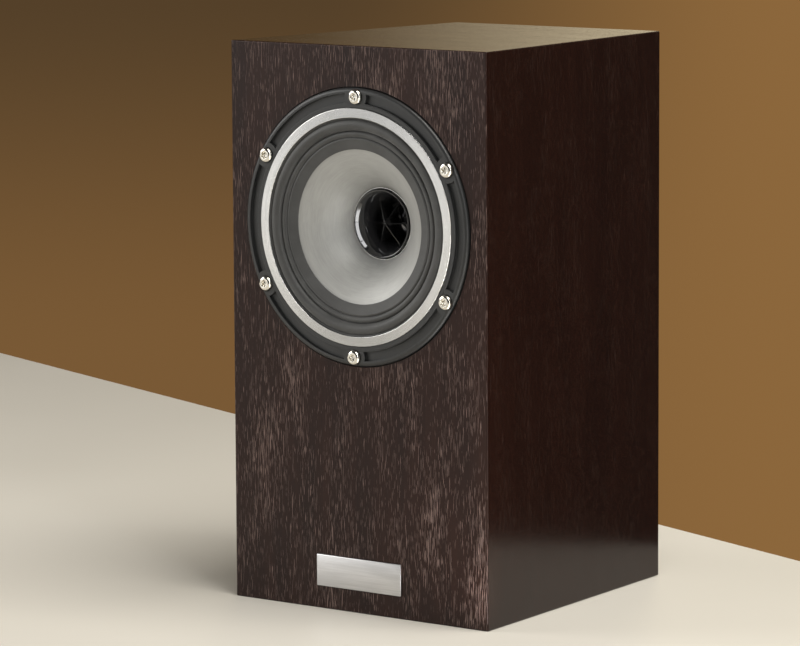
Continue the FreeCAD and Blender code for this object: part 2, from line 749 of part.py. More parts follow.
def tweeter_dome():
    """The thin dome that the tweeter's coil drives: a spherical shell on a short rim."""
    rim_depth = DOME_BASE_DEPTH - 0.2
    outer = (DOME_RADIUS**2 + DOME_RISE**2) / (2 * DOME_RISE)
    inner = outer - DOME_THICKNESS
    centre_depth = rim_depth - DOME_RISE + outer
    foot_radius = DOME_RADIUS - 1.3 * DOME_THICKNESS

    def on_sphere(radius, angle):
        return point(radius * math.sin(angle), centre_depth - radius * math.cos(angle))

    outer_angle = math.asin(DOME_RADIUS / outer)
    inner_angle = math.asin(foot_radius / inner)
    return turned(
        on_sphere(outer, 0),
        (on_sphere(outer, outer_angle / 2), point(DOME_RADIUS, rim_depth)),
        point(DOME_RADIUS, DOME_BASE_DEPTH),
        point(foot_radius, DOME_BASE_DEPTH),
        on_sphere(inner, inner_angle),
        (on_sphere(inner, inner_angle / 2), on_sphere(inner, 0)),
    )


def tweeter_surround():
    """The small half roll between the dome and the tweeter's clamp."""
    t = 0.2
    level = (CLAMP_REAR_DEPTH + TWEETER_PLATE_FRONT_DEPTH) / 2
    inner, outer = DOME_RADIUS + 0.03, DOME_LIP_INNER_RADIUS
    crest = (inner + 0.5 + outer) / 2
    return turned(
        point(inner, level - t),
        point(inner + 0.5, level - t),
        (point(crest, level - 1.0), point(outer - 0.1, level - t)),
        point(DOME_LIP_RADIUS, level - t),
        point(DOME_LIP_RADIUS, level + t),
        point(outer - 0.1, level + t),
        (point(crest, level - 0.6), point(inner + 0.5, level + t)),
        point(inner, level + t),
    )


# --- Drive unit: moving pieces ---------------------------------------------------------------

BAND_START = point(45.6, 0.55)
BAND_END = point(CONE_EDGE_RADIUS, 1.85)

def surround():
    """The rubber roll between the trim ring and the cone.

    From its lip inwards: a shallow groove, the main roll, a small roll, a step and the band
    that is glued to the cone's edge.
    """
    lip = TRIM_SEAT_DEPTH - SURROUND_THICKNESS / 2 - GLUE_GAP / 2
    line = path(
        point(SURROUND_LIP_RADIUS, lip),
        point(57.4, lip),
        (point(56.97, -0.9), point(56.72, -0.62)),
        (point(56.48, -0.5), point(56.25, -0.65)),
        (point(53.6, -1.9), point(50.95, 0.55)),
        (point(50.6, 0.9), point(50.2, 0.7)),
        (point(48.9, -0.15), point(47.5, 0.75)),
        (point(47.1, 1.0), point(46.7, 0.75)),
        (point(46.2, 0.35), BAND_START),
        BAND_END,
    )
    return turned_sheet(line, SURROUND_THICKNESS)


def cone():
    """The flared cone, with an edge under the surround's band and a neck on the coil's former."""
    shift = (SURROUND_THICKNESS + CONE_THICKNESS) / 2 + GLUE_GAP
    band = BAND_END - BAND_START
    normal = Vector(-band.y, band.x, 0).normalize() * -1
    neck = FORMER_OUTER_RADIUS + GLUE_GAP + CONE_THICKNESS / 2
    line = path(
        BAND_START + normal * shift,
        BAND_END + normal * shift,
        (point(28.9, 9.9), point(neck + 0.35, NECK_DEPTH)),
        (point(neck + 0.1, NECK_DEPTH + 0.5), point(neck, NECK_DEPTH + 1.1)),
        point(neck, NECK_DEPTH + NECK_LENGTH),
    )
    return turned_sheet(line, CONE_THICKNESS)


def spider():
    """The corrugated cloth disc that centres the coil."""
    inner = FORMER_OUTER_RADIUS + GLUE_GAP
    level = SPIDER_LEDGE_DEPTH - SPIDER_THICKNESS / 2 - GLUE_GAP
    first, last = inner + 1.6, SPIDER_LEDGE_RADIUS - 0.6
    pitch = (last - first) / SPIDER_WAVES
    steps = [point(first, level)]
    for i in range(SPIDER_WAVES):
        start = first + pitch * i
        crest = level - SPIDER_WAVE_HEIGHT if i % 2 == 0 else level + SPIDER_WAVE_HEIGHT
        steps.append((point(start + pitch / 2, crest), point(start + pitch, level)))
    steps.append(point(SPIDER_LIP_RADIUS, level))
    return turned_sheet(path(point(inner, level), *steps), SPIDER_THICKNESS)


def tag_positions():
    """X of the four tags: bass minus, treble minus, treble plus, bass plus."""
    return [TAG_PITCH * (i - 1.5) for i in range(4)]


def tag_board():
    """The insulating board under the basket that carries the solder tags."""
    return block(
        0,
        TAG_BOARD_WIDTH,
        BASKET_REAR_DEPTH,
        BASKET_REAR_DEPTH + TAG_BOARD_THICKNESS,
        -TAG_BOARD_OUTER_RADIUS,
        -TAG_BOARD_INNER_RADIUS,
    )


def solder_tags():
    """Four flat tags that stand on the rear of the tag board and point down."""
    rear = BASKET_REAR_DEPTH + TAG_BOARD_THICKNESS
    low = -TAG_BOARD_OUTER_RADIUS - TAG_REACH / 2
    high = low + TAG_REACH + 5
    return group([block(x, TAG_WIDTH, rear, rear + TAG_THICKNESS, low, high) for x in tag_positions()])


def flex_leads():
    """The two braided leads from the coil's former to the outer tags, through a basket window."""
    leads = []
    for side in (-1, 1):
        tag_x = side * abs(tag_positions()[0])
        points = [
            Vector(side * 6.0, 25.6, -19.9),
            Vector(side * 7.0, 23.4, -27.0),
            Vector(side * 9.5, 20.6, -37.0),
            Vector(side * 12.2, 22.4, -47.0),
            Vector(tag_x, 29.0, -56.5),
            Vector(tag_x, BASKET_REAR_DEPTH, -56.5),
        ]
        leads.append(tube_along(points, LEAD_DIAMETER))
    return group(leads)


# --- Rear: port, terminals ---------------------------------------------------------------------


def port_tube():
    """The reflex port: a flanged tube with a rounded mouth at each end."""
    bore = PORT_RADIUS
    outer = bore + PORT_WALL
    seat = REAR_Y - PORT_FLANGE_THICKNESS
    inner_end = REAR_Y - PORT_LENGTH
    mouth = REAR_Y + 0.6
    flare = PORT_FLARE * (1 - math.sqrt(0.5))
    lip = bore + PORT_FLARE
    tube = turned(
        point(bore, inner_end + PORT_FLARE),
        point(bore, mouth - PORT_FLARE),
        (point(bore + flare, mouth - flare), point(lip, mouth)),
        point(PORT_FLANGE_RADIUS - 0.8, mouth),
        point(PORT_FLANGE_RADIUS, mouth - 0.8),
        point(PORT_FLANGE_RADIUS, seat),
        point(outer, seat),
        point(outer, inner_end + PORT_FLARE),
        (point(outer + flare, inner_end + flare + 1.0), point(outer + PORT_FLARE - 1.2, inner_end + 1.2)),
        (point(lip + 0.4, inner_end), point(lip - 0.6, inner_end + 0.1)),
        (point(bore + flare - 0.2, inner_end + flare), point(bore, inner_end + PORT_FLARE)),
    )
    return moved_to(tube, Vector(0, 0, PORT_Z))


def rounded_slab(width, height, front, rear, corner):
    """A slab in the rear panel's plane with rounded upright corners."""
    slab = block(0, width, front, rear, TERMINAL_Z - height / 2, TERMINAL_Z + height / 2)
    through = [edge for edge in slab.Edges if abs(edge.tangentAt(edge.FirstParameter).y) > 0.9]
    return slab.makeFillet(corner, through)


def terminal_screw_centres():
    """The four screws at the terminal plate's corners."""
    centres = []
    for side in (-1, 1):
        for level in (-1, 1):
            centres.append(Vector(side * TERMINAL_SCREW_X, 0, TERMINAL_Z + level * TERMINAL_SCREW_Z))
    return centres


def post_centres():
    """The four binding posts, by name."""
    centres = {}
    for polarity, side in (("minus", -1), ("plus", 1)):
        for band, level in (("treble", 1), ("bass", -1)):
            x = side * POST_SPACING_X / 2
            z = TERMINAL_Z + level * POST_SPACING_Z / 2
            centres[f"{band}_{polarity}"] = Vector(x, 0, z)
    return centres


SEAL_REAR_Y = REAR_Y + SEAL_THICKNESS
PLATE_REAR_Y = SEAL_REAR_Y + TERMINAL_THICKNESS
COLLAR_REAR_Y = PLATE_REAR_Y + COLLAR_THICKNESS
LINK_REAR_Y = COLLAR_REAR_Y + LINK_THICKNESS
WASHER_FRONT_Y = LINK_REAR_Y + POST_CLEARANCE
WASHER_REAR_Y = WASHER_FRONT_Y + CLAMP_WASHER_THICKNESS
CAP_FRONT_Y = WASHER_REAR_Y + POST_CLEARANCE


def screw_holes():
    """Clearance holes for the terminal plate's screws."""
    radius = TERMINAL_SCREW_RADIUS + 0.3
    return [rod(centre, radius, REAR_Y - 1, PLATE_REAR_Y + 1) for centre in terminal_screw_centres()]


def terminal_seal():
    """The foam seal between the terminal plate and the rear panel."""
    wide, high = TERMINAL_WIDTH - 2, TERMINAL_HEIGHT - 2
    seal = rounded_slab(wide, high, REAR_Y, SEAL_REAR_Y, TERMINAL_CORNER - 1)
    wide, high = TERMINAL_CUTOUT_WIDTH, TERMINAL_CUTOUT_HEIGHT
    opening = rounded_slab(wide, high, REAR_Y - 1, SEAL_REAR_Y + 1, 1.0)
    return seal.cut([opening] + screw_holes())


def terminal_plate():
    """The moulded plate that carries the posts."""
    plate = rounded_slab(TERMINAL_WIDTH, TERMINAL_HEIGHT, SEAL_REAR_Y, PLATE_REAR_Y, TERMINAL_CORNER)
    rear_face = max(plate.Faces, key=lambda face: face.CenterOfMass.y)
    plate = plate.makeChamfer(TERMINAL_CHAMFER, rear_face.Edges)
    bore = POST_RADIUS + POST_CLEARANCE
    holes = [rod(centre, bore, REAR_Y, PLATE_REAR_Y + 1) for centre in post_centres().values()]
    return plate.cut(screw_holes() + holes)


def terminal_screws():
    """Four self-tapping screws through the plate and its seal into the rear panel."""
    screw = button_screw(
        TERMINAL_SCREW_HEAD_RADIUS, TERMINAL_SCREW_HEAD_HEIGHT, TERMINAL_SCREW_RADIUS, TERMINAL_SCREW_LENGTH
    )
    screw.rotate(Vector(0, 0, 0), X_AXIS, 180)
    return group([moved_to(screw, c, PLATE_REAR_Y) for c in terminal_screw_centres()])


def post_shanks():
    """The posts' threaded cores, with a plug socket in the end and a cross hole for bare wire."""
    core = turned(
        point(0, POST_FRONT_Y),
        point(POST_RADIUS - 0.4, POST_FRONT_Y),
        point(POST_RADIUS, POST_FRONT_Y + 0.4),
        point(POST_RADIUS, POST_REAR_Y - 0.3),
        point(POST_RADIUS - 0.3, POST_REAR_Y),
        point(SOCKET_RADIUS + 0.3, POST_REAR_Y),
        point(SOCKET_RADIUS, POST_REAR_Y - 0.3),
        point(SOCKET_RADIUS, POST_REAR_Y - SOCKET_LENGTH),
        point(0, POST_REAR_Y - SOCKET_LENGTH),
    )
    hole_y = WASHER_FRONT_Y + WIRE_HOLE_RADIUS + 0.4
    start = Vector(0, hole_y, -2 * POST_RADIUS)
    cross = Part.makeCylinder(WIRE_HOLE_RADIUS, 4 * POST_RADIUS, start, Z_AXIS)
    return group([moved_to(core.cut(cross), centre) for centre in post_centres().values()])


def post_collars():
    """Insulating collars between the plate and the links."""
    collar = ring(POST_RADIUS + POST_CLEARANCE, COLLAR_RADIUS, PLATE_REAR_Y, COLLAR_REAR_Y, 0.5)
    return group([moved_to(collar, centre) for centre in post_centres().values()])


def post_links():
    """Two plated links that join the treble post to the bass post of each polarity."""
    links = []
    centres = post_centres()
    for polarity in ("minus", "plus"):
        high, low = centres[f"treble_{polarity}"], centres[f"bass_{polarity}"]
        ends = [rod(c, LINK_RADIUS, COLLAR_REAR_Y, LINK_REAR_Y) for c in (high, low)]
        bar = block(high.x, 1.3 * LINK_RADIUS, COLLAR_REAR_Y, LINK_REAR_Y, low.z, high.z)
        holes = [rod(c, POST_RADIUS + POST_CLEARANCE, PLATE_REAR_Y, LINK_REAR_Y + 1) for c in (high, low)]
        links.append(fused(ends + [bar]).cut(holes))
    return group(links)


def clamp_washer(centre):
    """The captive washer that a cap presses on the link: it slides and doesn't turn."""
    washer = ring(POST_RADIUS + POST_CLEARANCE, CLAMP_WASHER_RADIUS, WASHER_FRONT_Y, WASHER_REAR_Y, 0.2)
    return moved_to(washer, centre)


def fluted_cap(centre):
    """The grip that screws along a post."""
    bore = POST_RADIUS + POST_CLEARANCE
    grip = turned(
        point(bore, CAP_FRONT_Y),
        point(CAP_RADIUS - 0.5, CAP_FRONT_Y),
        point(CAP_RADIUS, CAP_FRONT_Y + 0.5),
        point(CAP_RADIUS, POST_REAR_Y - 1.0 - CAP_CHAMFER),
        point(CAP_RADIUS - CAP_CHAMFER, POST_REAR_Y - 1.0),
        point(bore + 1.6, POST_REAR_Y - 1.0),
        point(bore + 1.6, POST_REAR_Y - 0.4),
        point(bore, POST_REAR_Y - 0.4),
    )
    flutes = [
        rod(c, CAP_FLUTE_RADIUS, CAP_FRONT_Y + 2.0, POST_REAR_Y + 1)
        for c in around(CAP_FLUTES, CAP_RADIUS + 0.25)
    ]
    return moved_to(grip.cut(flutes), centre)


def hex_nut(centre, front, rear):
    """A hexagon nut on a post."""
    corner = NUT_ACROSS_FLATS / math.sqrt(3)
    corners = [c + Vector(0, front, 0) for c in around(6, corner)]
    prism = Part.Face(Part.makePolygon(corners + [corners[0]])).extrude(Y_AXIS * (rear - front))
    bore = rod(Vector(0, 0, 0), POST_RADIUS + POST_CLEARANCE, front - 1, rear + 1)
    return moved_to(prism.cut(bore), centre)


def post_nuts():
    """The nuts that hold each post and its lug inside the plate."""
    nuts = []
    for centre in post_centres().values():
        holding = SEAL_REAR_Y - NUT_THICKNESS
        nuts.append(hex_nut(centre, holding, SEAL_REAR_Y))
        nuts.append(hex_nut(centre, holding - LUG_THICKNESS - NUT_THICKNESS, holding - LUG_THICKNESS))
    return group(nuts)


# --- Crossover and wiring ----------------------------------------------------------------------


BOARD_HIGH_Z = BOARD_LOW_Z + BOARD_THICKNESS
BOARD_REAR_Y = BOARD_FRONT_Y + BOARD_LENGTH


def board_corners():
    """(x, y) of the four screws that hold the crossover board."""
    x = BOARD_WIDTH / 2 - BOARD_CORNER_INSET
    ys = (BOARD_FRONT_Y + BOARD_CORNER_INSET, BOARD_REAR_Y - BOARD_CORNER_INSET)
    return [(side * x, y) for side in (-1, 1) for y in ys]


def crossover_board():
    """The printed circuit board on the cabinet's floor."""
    board = block(0, BOARD_WIDTH, BOARD_FRONT_Y, BOARD_REAR_Y, BOARD_LOW_Z, BOARD_HIGH_Z)
    holes = [
        Part.makeCylinder(BOARD_SCREW_RADIUS + 0.1, 10, Vector(x, y, BOARD_LOW_Z - 5), Z_AXIS)
        for x, y in board_corners()
    ]
    return board.cut(holes)


def board_fixings():
    """Four screws through the board into the bottom panel, and the spacers under the board."""
    screw = button_screw(
        BOARD_SCREW_HEAD_RADIUS, BOARD_SCREW_HEAD_HEIGHT, BOARD_SCREW_RADIUS, BOARD_SCREW_LENGTH
    )
    screw.rotate(Vector(0, 0, 0), X_AXIS, -90)
    pieces = []
    for x, y in board_corners():
        copy = screw.copy()
        copy.translate(Vector(x, y, BOARD_HIGH_Z))
        spacer = Part.makeCylinder(STANDOFF_RADIUS, BOARD_LOW_Z - WALL, Vector(x, y, WALL), Z_AXIS)
        bore = Part.makeCylinder(BOARD_SCREW_RADIUS + GLUE_GAP, BOARD_LOW_Z, Vector(x, y, 0), Z_AXIS)
        pieces += [copy, spacer.cut(bore)]
    return group(pieces)


def inductor(x, y, radius, height, core_radius):
    """A coil wound on a flanged bobbin that stands on the board, as bobbin and winding."""
    flange = 1.5
    base = Vector(x, y, BOARD_HIGH_Z)
    bobbin = fused(
        [
            Part.makeCylinder(core_radius, height, base, Z_AXIS),
            Part.makeCylinder(radius, flange, base, Z_AXIS),
            Part.makeCylinder(radius, flange, base + Z_AXIS * (height - flange), Z_AXIS),
        ]
    )
    start = base + Z_AXIS * (flange + GLUE_GAP)
    winding = Part.makeCylinder(radius - 1, height - 2 * (flange + GLUE_GAP), start, Z_AXIS)
    core = Part.makeCylinder(core_radius + GLUE_GAP, height, base, Z_AXIS)
    return bobbin, winding.cut(core)


def crossover_inductors():
    """The bass coil and the treble coil, in that order."""
    return inductor(-26.0, -14.0, 19.0, 22.0, 8.0) + inductor(27.0, -20.0, 13.0, 16.0, 5.0)


def capacitor(x, y, radius, length):
    """A cylindrical capacitor lying across the board, with eased ends."""
    body = Part.makeCylinder(radius, length, Vector(x - length / 2, y, BOARD_HIGH_Z + radius), X_AXIS)
    circles = [edge for edge in body.Edges if edge.Curve.TypeId == "Part::GeomCircle"]
    return body.makeFillet(1.2, circles)


def crossover_capacitors():
    """Three capacitors along the rear of the board."""
    places = ((-22.0, 22.0, 8.0, 34.0), (20.0, 24.0, 6.5, 28.0), (20.0, 8.0, 5.5, 26.0))
    return group([capacitor(*place) for place in places])


def crossover_resistors():
    """Two ceramic power resistors on the board."""
    bars = []
    for y in (-2.5, 34.4):
        bar = block(22.0 if y < 0 else -8.0, 24.0, y - 3.0, y + 3.0, BOARD_HIGH_Z, BOARD_HIGH_Z + 8.0)
        bars.append(bar.makeFillet(0.6, bar.Edges))
    return group(bars)


def terminal_wires():
    """Lugs on the posts and the wires from them down to the rear edge of the board."""
    pieces = []
    lug_rear = SEAL_REAR_Y - NUT_THICKNESS
    lug_front = lug_rear - LUG_THICKNESS
    for name, centre in post_centres().items():
        inward = -1 if centre.x > 0 else 1
        side = -inward if "bass" in name else inward
        eye = rod(centre, NUT_ACROSS_FLATS / 2, lug_front, lug_rear)
        arm_x = centre.x + side * NUT_ACROSS_FLATS * 0.75
        middle_x, reach = (centre.x + arm_x) / 2, abs(arm_x - centre.x)
        arm = block(middle_x, reach, lug_front, lug_rear, centre.z - 1.5, centre.z + 1.5)
        bore = rod(centre, POST_RADIUS + POST_CLEARANCE, lug_front - 1, lug_rear + 1)
        pieces.append(fused([eye, arm]).cut(bore))
        foot_x = arm_x * (1.25 if "bass" in name else 1.0)
        foot_y = BOARD_REAR_Y - 3.0
        points = [
            Vector(arm_x, lug_front, centre.z),
            Vector(arm_x, lug_front - 12.0, centre.z),
            Vector(arm_x * 1.05, foot_y + 20.0, centre.z - 10.0),
            Vector(arm_x * 1.15, foot_y + 8.0, centre.z - 24.0),
            Vector(foot_x, foot_y, (centre.z - 24.0 + BOARD_HIGH_Z) / 2),
            Vector(foot_x, foot_y, BOARD_HIGH_Z),
        ]
        pieces.append(tube_along(points, WIRE_DIAMETER))
    return group(pieces)


def driver_wires():
    """The wires from the front of the board up to the tags, with a push-on sleeve on each tag."""
    pieces = []
    rear = BASKET_REAR_DEPTH + TAG_BOARD_THICKNESS
    tag_y = FRONT_Y + rear + TAG_THICKNESS / 2
    low = DRIVER_Z - TAG_BOARD_OUTER_RADIUS - TAG_REACH / 2
    for x in tag_positions():
        outer = block(x, TAG_WIDTH + 1.6, tag_y - 1.3, tag_y + 1.3, low - 8.0, low + 3.5)
        slot = block(x, TAG_WIDTH + 0.1, tag_y - 0.45, tag_y + 0.45, low - 0.1, low + 5.0)
        pieces.append(outer.cut(slot))
        foot_x = x * 0.8
        foot_y = BOARD_FRONT_Y + 3.0
        points = [
            Vector(x, tag_y, low - 8.0),
            Vector(x, tag_y, low - 22.0),
            Vector(x * 0.95, tag_y + 2.0, low - 42.0),
            Vector(x * 0.85, foot_y - 2.0, BOARD_HIGH_Z + 40.0),
            Vector(foot_x, foot_y, BOARD_HIGH_Z + 20.0),
            Vector(foot_x, foot_y, BOARD_HIGH_Z),
        ]
        pieces.append(tube_along(points, WIRE_DIAMETER))
    return group(pieces)


# --- Assembly ----------------------------------------------------------------------------------


def cabinet_nodes():
    """The cabinet's walls and what is fixed to them."""
    nodes = cabinet_panels()
    nodes["front_baffle"] = machined_baffle(nodes["front_baffle"])
    nodes["rear_panel"] = machined_rear(nodes["rear_panel"])
    nodes["cabinet_bottom"] = drilled_bottom(nodes["cabinet_bottom"])
    nodes["shelf_brace"] = shelf_brace()
    nodes["foam_lining"] = foam_lining()
    nodes["name_plate"] = name_plate()
    nodes["port_tube"] = port_tube()
    return nodes


def driver_nodes():
    """Every piece of the drive unit, in its place in the baffle."""
    pieces = {
        "driver_chassis": chassis(),
        "chassis_gasket": chassis_gasket(),
        "driver_screws": driver_screws(),
        "baffle_inserts": baffle_inserts(),
        "trim_ring": trim_ring(),
        "front_pole_plate": top_plate(),
        "chassis_rivets": chassis_rivets(),
        "magnet_ring": magnet_ring(),
        "pole_yoke": yoke(),
        "tweeter_horn": tweeter_horn(),
        "phase_plug": phase_plug(),
        **tweeter_motor(),
        "tweeter_cup": tweeter_cup(),
        "tweeter_dome": tweeter_dome(),
        "tweeter_surround": tweeter_surround(),
        "cone": cone(),
        "surround": surround(),
        "coil_former": ring(FORMER_INNER_RADIUS, FORMER_OUTER_RADIUS, FORMER_FRONT_DEPTH, COIL_REAR_DEPTH),
        "voice_coil": ring(FORMER_OUTER_RADIUS + 0.02, COIL_RADIUS, COIL_FRONT_DEPTH, COIL_REAR_DEPTH),
        "spider": spider(),
        "tag_board": tag_board(),
        "solder_tags": solder_tags(),
        "flex_leads": flex_leads(),
    }
    return {name: in_cabinet(shape) for name, shape in pieces.items()}


def terminal_nodes():
    """The terminal plate, the posts and their moving caps."""
    nodes = {
        "terminal_seal": terminal_seal(),
        "terminal_plate": terminal_plate(),
        "terminal_screws": terminal_screws(),
        "post_shanks": post_shanks(),
        "post_collars": post_collars(),
        "post_links": post_links(),
        "post_nuts": post_nuts(),
    }
    for name, centre in post_centres().items():
        nodes[f"{name}_washer"] = clamp_washer(centre)
        nodes[f"{name}_cap"] = fluted_cap(centre)
    return nodes


def crossover_nodes():
    """The crossover board, its components and the wiring."""
    bass_bobbin, bass_winding, treble_bobbin, treble_winding = crossover_inductors()
    return {
        "crossover_board": crossover_board(),
        "board_fixings": board_fixings(),
        "inductor_bobbins": group([bass_bobbin, treble_bobbin]),
        "inductor_windings": group([bass_winding, treble_winding]),
        "crossover_capacitors": crossover_capacitors(),
        "crossover_resistors": crossover_resistors(),
        "terminal_wires": terminal_wires(),
        "driver_wires": driver_wires(),
    }


def main():
    """Writes one STEP file for each node."""
    os.makedirs("parts", exist_ok=True)
    nodes = {**cabinet_nodes(), **driver_nodes(), **terminal_nodes(), **crossover_nodes()}
    for name, shape in nodes.items():
        shape.exportStep(f"parts/{name}.step")
        print(f"{name}: {len(shape.Solids)} solids, {shape.Volume:.0f} mm3, valid {shape.isValid()}")
    return nodes


main()
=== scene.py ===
"""Dresses the bookshelf speaker: finishes, soft parts and fine detail, in the model's frame, in metres."""

import logging
import math
from dataclasses import dataclass
from enum import Enum
from typing import Callable, Dict, List, Optional, Sequence, Tuple

import bmesh
import bpy
import numpy as np
from mathutils import Matrix, Quaternion, Vector


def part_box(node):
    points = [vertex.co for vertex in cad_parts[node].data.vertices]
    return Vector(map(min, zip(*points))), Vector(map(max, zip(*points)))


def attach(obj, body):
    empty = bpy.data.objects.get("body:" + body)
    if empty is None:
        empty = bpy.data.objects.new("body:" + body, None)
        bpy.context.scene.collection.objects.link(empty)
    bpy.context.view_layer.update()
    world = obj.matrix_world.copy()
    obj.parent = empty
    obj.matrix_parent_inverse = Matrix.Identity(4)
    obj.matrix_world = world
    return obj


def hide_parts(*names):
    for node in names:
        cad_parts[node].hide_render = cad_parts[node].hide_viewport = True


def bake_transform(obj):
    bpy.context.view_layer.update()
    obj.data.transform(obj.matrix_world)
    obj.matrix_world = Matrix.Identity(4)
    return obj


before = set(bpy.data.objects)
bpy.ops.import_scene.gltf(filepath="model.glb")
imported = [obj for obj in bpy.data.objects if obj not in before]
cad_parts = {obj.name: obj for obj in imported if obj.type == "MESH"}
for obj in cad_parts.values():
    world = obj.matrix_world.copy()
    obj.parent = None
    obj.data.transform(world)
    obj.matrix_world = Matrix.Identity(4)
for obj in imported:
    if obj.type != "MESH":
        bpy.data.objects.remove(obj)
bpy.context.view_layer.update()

LOG = logging.getLogger("speaker")
MM = 0.001
Colour = Tuple[float, float, float]
Point2 = Tuple[float, float]
Profile = List[Point2]
Row = List[bmesh.types.BMVert]
Wave = Callable[[int, float], float]
Weight = Callable[[Vector], float]


# --- Shader building -------------------------------------------------------------------------


class Value:
    """A number's socket in a node tree, which works in Python arithmetic."""

    def __init__(self, nodes: "Nodes", socket: bpy.types.NodeSocket) -> None:
        """Wraps a socket of a node tree."""
        self.nodes = nodes
        self.socket = socket

    def math_node(self, operation: str, first: object, second: object = 0.0) -> "Value":
        """Adds a Math node.

        Args:
            operation: the Math node's operation.
            first: the value or number on its first socket.
            second: the value or number on its second socket.

        Returns:
            The node's result.
        """
        node = self.nodes.node("ShaderNodeMath", {"operation": operation}, {0: first, 1: second})
        return Value(self.nodes, node.outputs[0])

    def __add__(self, other: object) -> "Value":
        """self + other."""
        return self.math_node("ADD", self, other)

    def __radd__(self, other: object) -> "Value":
        """other + self."""
        return self.math_node("ADD", other, self)

    def __sub__(self, other: object) -> "Value":
        """self - other."""
        return self.math_node("SUBTRACT", self, other)

    def __rsub__(self, other: object) -> "Value":
        """other - self."""
        return self.math_node("SUBTRACT", other, self)

    def __mul__(self, other: object) -> "Value":
        """self * other."""
        return self.math_node("MULTIPLY", self, other)

    def __rmul__(self, other: object) -> "Value":
        """other * self."""
        return self.math_node("MULTIPLY", other, self)

    def __pow__(self, other: object) -> "Value":
        """self to the power other."""
        return self.math_node("POWER", self, other)

    def sine(self) -> "Value":
        """The sine of self."""
        return self.math_node("SINE", self)

    def step(self, low: float, high: float) -> "Value":
        """A smooth step of self.

        Args:
            low: where the step leaves 0.
            high: where it reaches 1.

        Returns:
            The step's height, from 0 to 1.
        """
        settings = {"interpolation_type": "SMOOTHSTEP"}
        sockets = {"Value": self, "From Min": low, "From Max": high}
        return Value(self.nodes, self.nodes.node("ShaderNodeMapRange", settings, sockets).outputs["Result"])


class Nodes:
    """A node tree that is filled from values, numbers and colours."""

    def __init__(self, tree: bpy.types.NodeTree) -> None:
        """Works on a tree that already has its output."""
        self.tree = tree

    def fill(self, socket: bpy.types.NodeSocket, value: object) -> None:
        """Links a value to a socket, or sets the socket's own number or colour.

        Args:
            socket: the input socket.
            value: a value, another node's socket, a colour or a number.
        """
        if isinstance(value, Value):
            value = value.socket
        if isinstance(value, bpy.types.NodeSocket):
            self.tree.links.new(value, socket)
        elif isinstance(value, tuple) and socket.type == "RGBA":
            socket.default_value = (*value, 1.0)
        else:
            socket.default_value = value

    def node(self, kind: str, settings: Dict[str, object], sockets: Dict[object, object]) -> bpy.types.Node:
        """Adds a node.

        Args:
            kind: the node's type.
            settings: its properties, set before its sockets.
            sockets: values or links of its input sockets, by name or number.

        Returns:
            The node.
        """
        node = self.tree.nodes.new(kind)
        for key, value in settings.items():
            setattr(node, key, value)
        for key, value in sockets.items():
            self.fill(node.inputs[key], value)
        return node

    def blend(self, factor: Value, low: object, high: object) -> bpy.types.NodeSocket:
        """Mixes two colours.

        Args:
            factor: 0 for low and 1 for high.
            low: a colour or a colour's socket.
            high: a colour or a colour's socket.

        Returns:
            The mixed colour.
        """
        mix = self.node("ShaderNodeMix", {"data_type": "RGBA"}, {})
        by_name = {socket.identifier: socket for socket in mix.inputs}
        self.fill(by_name["Factor_Float"], factor)
        self.fill(by_name["A_Color"], low)
        self.fill(by_name["B_Color"], high)
        return next(socket for socket in mix.outputs if socket.identifier == "Result_Color")


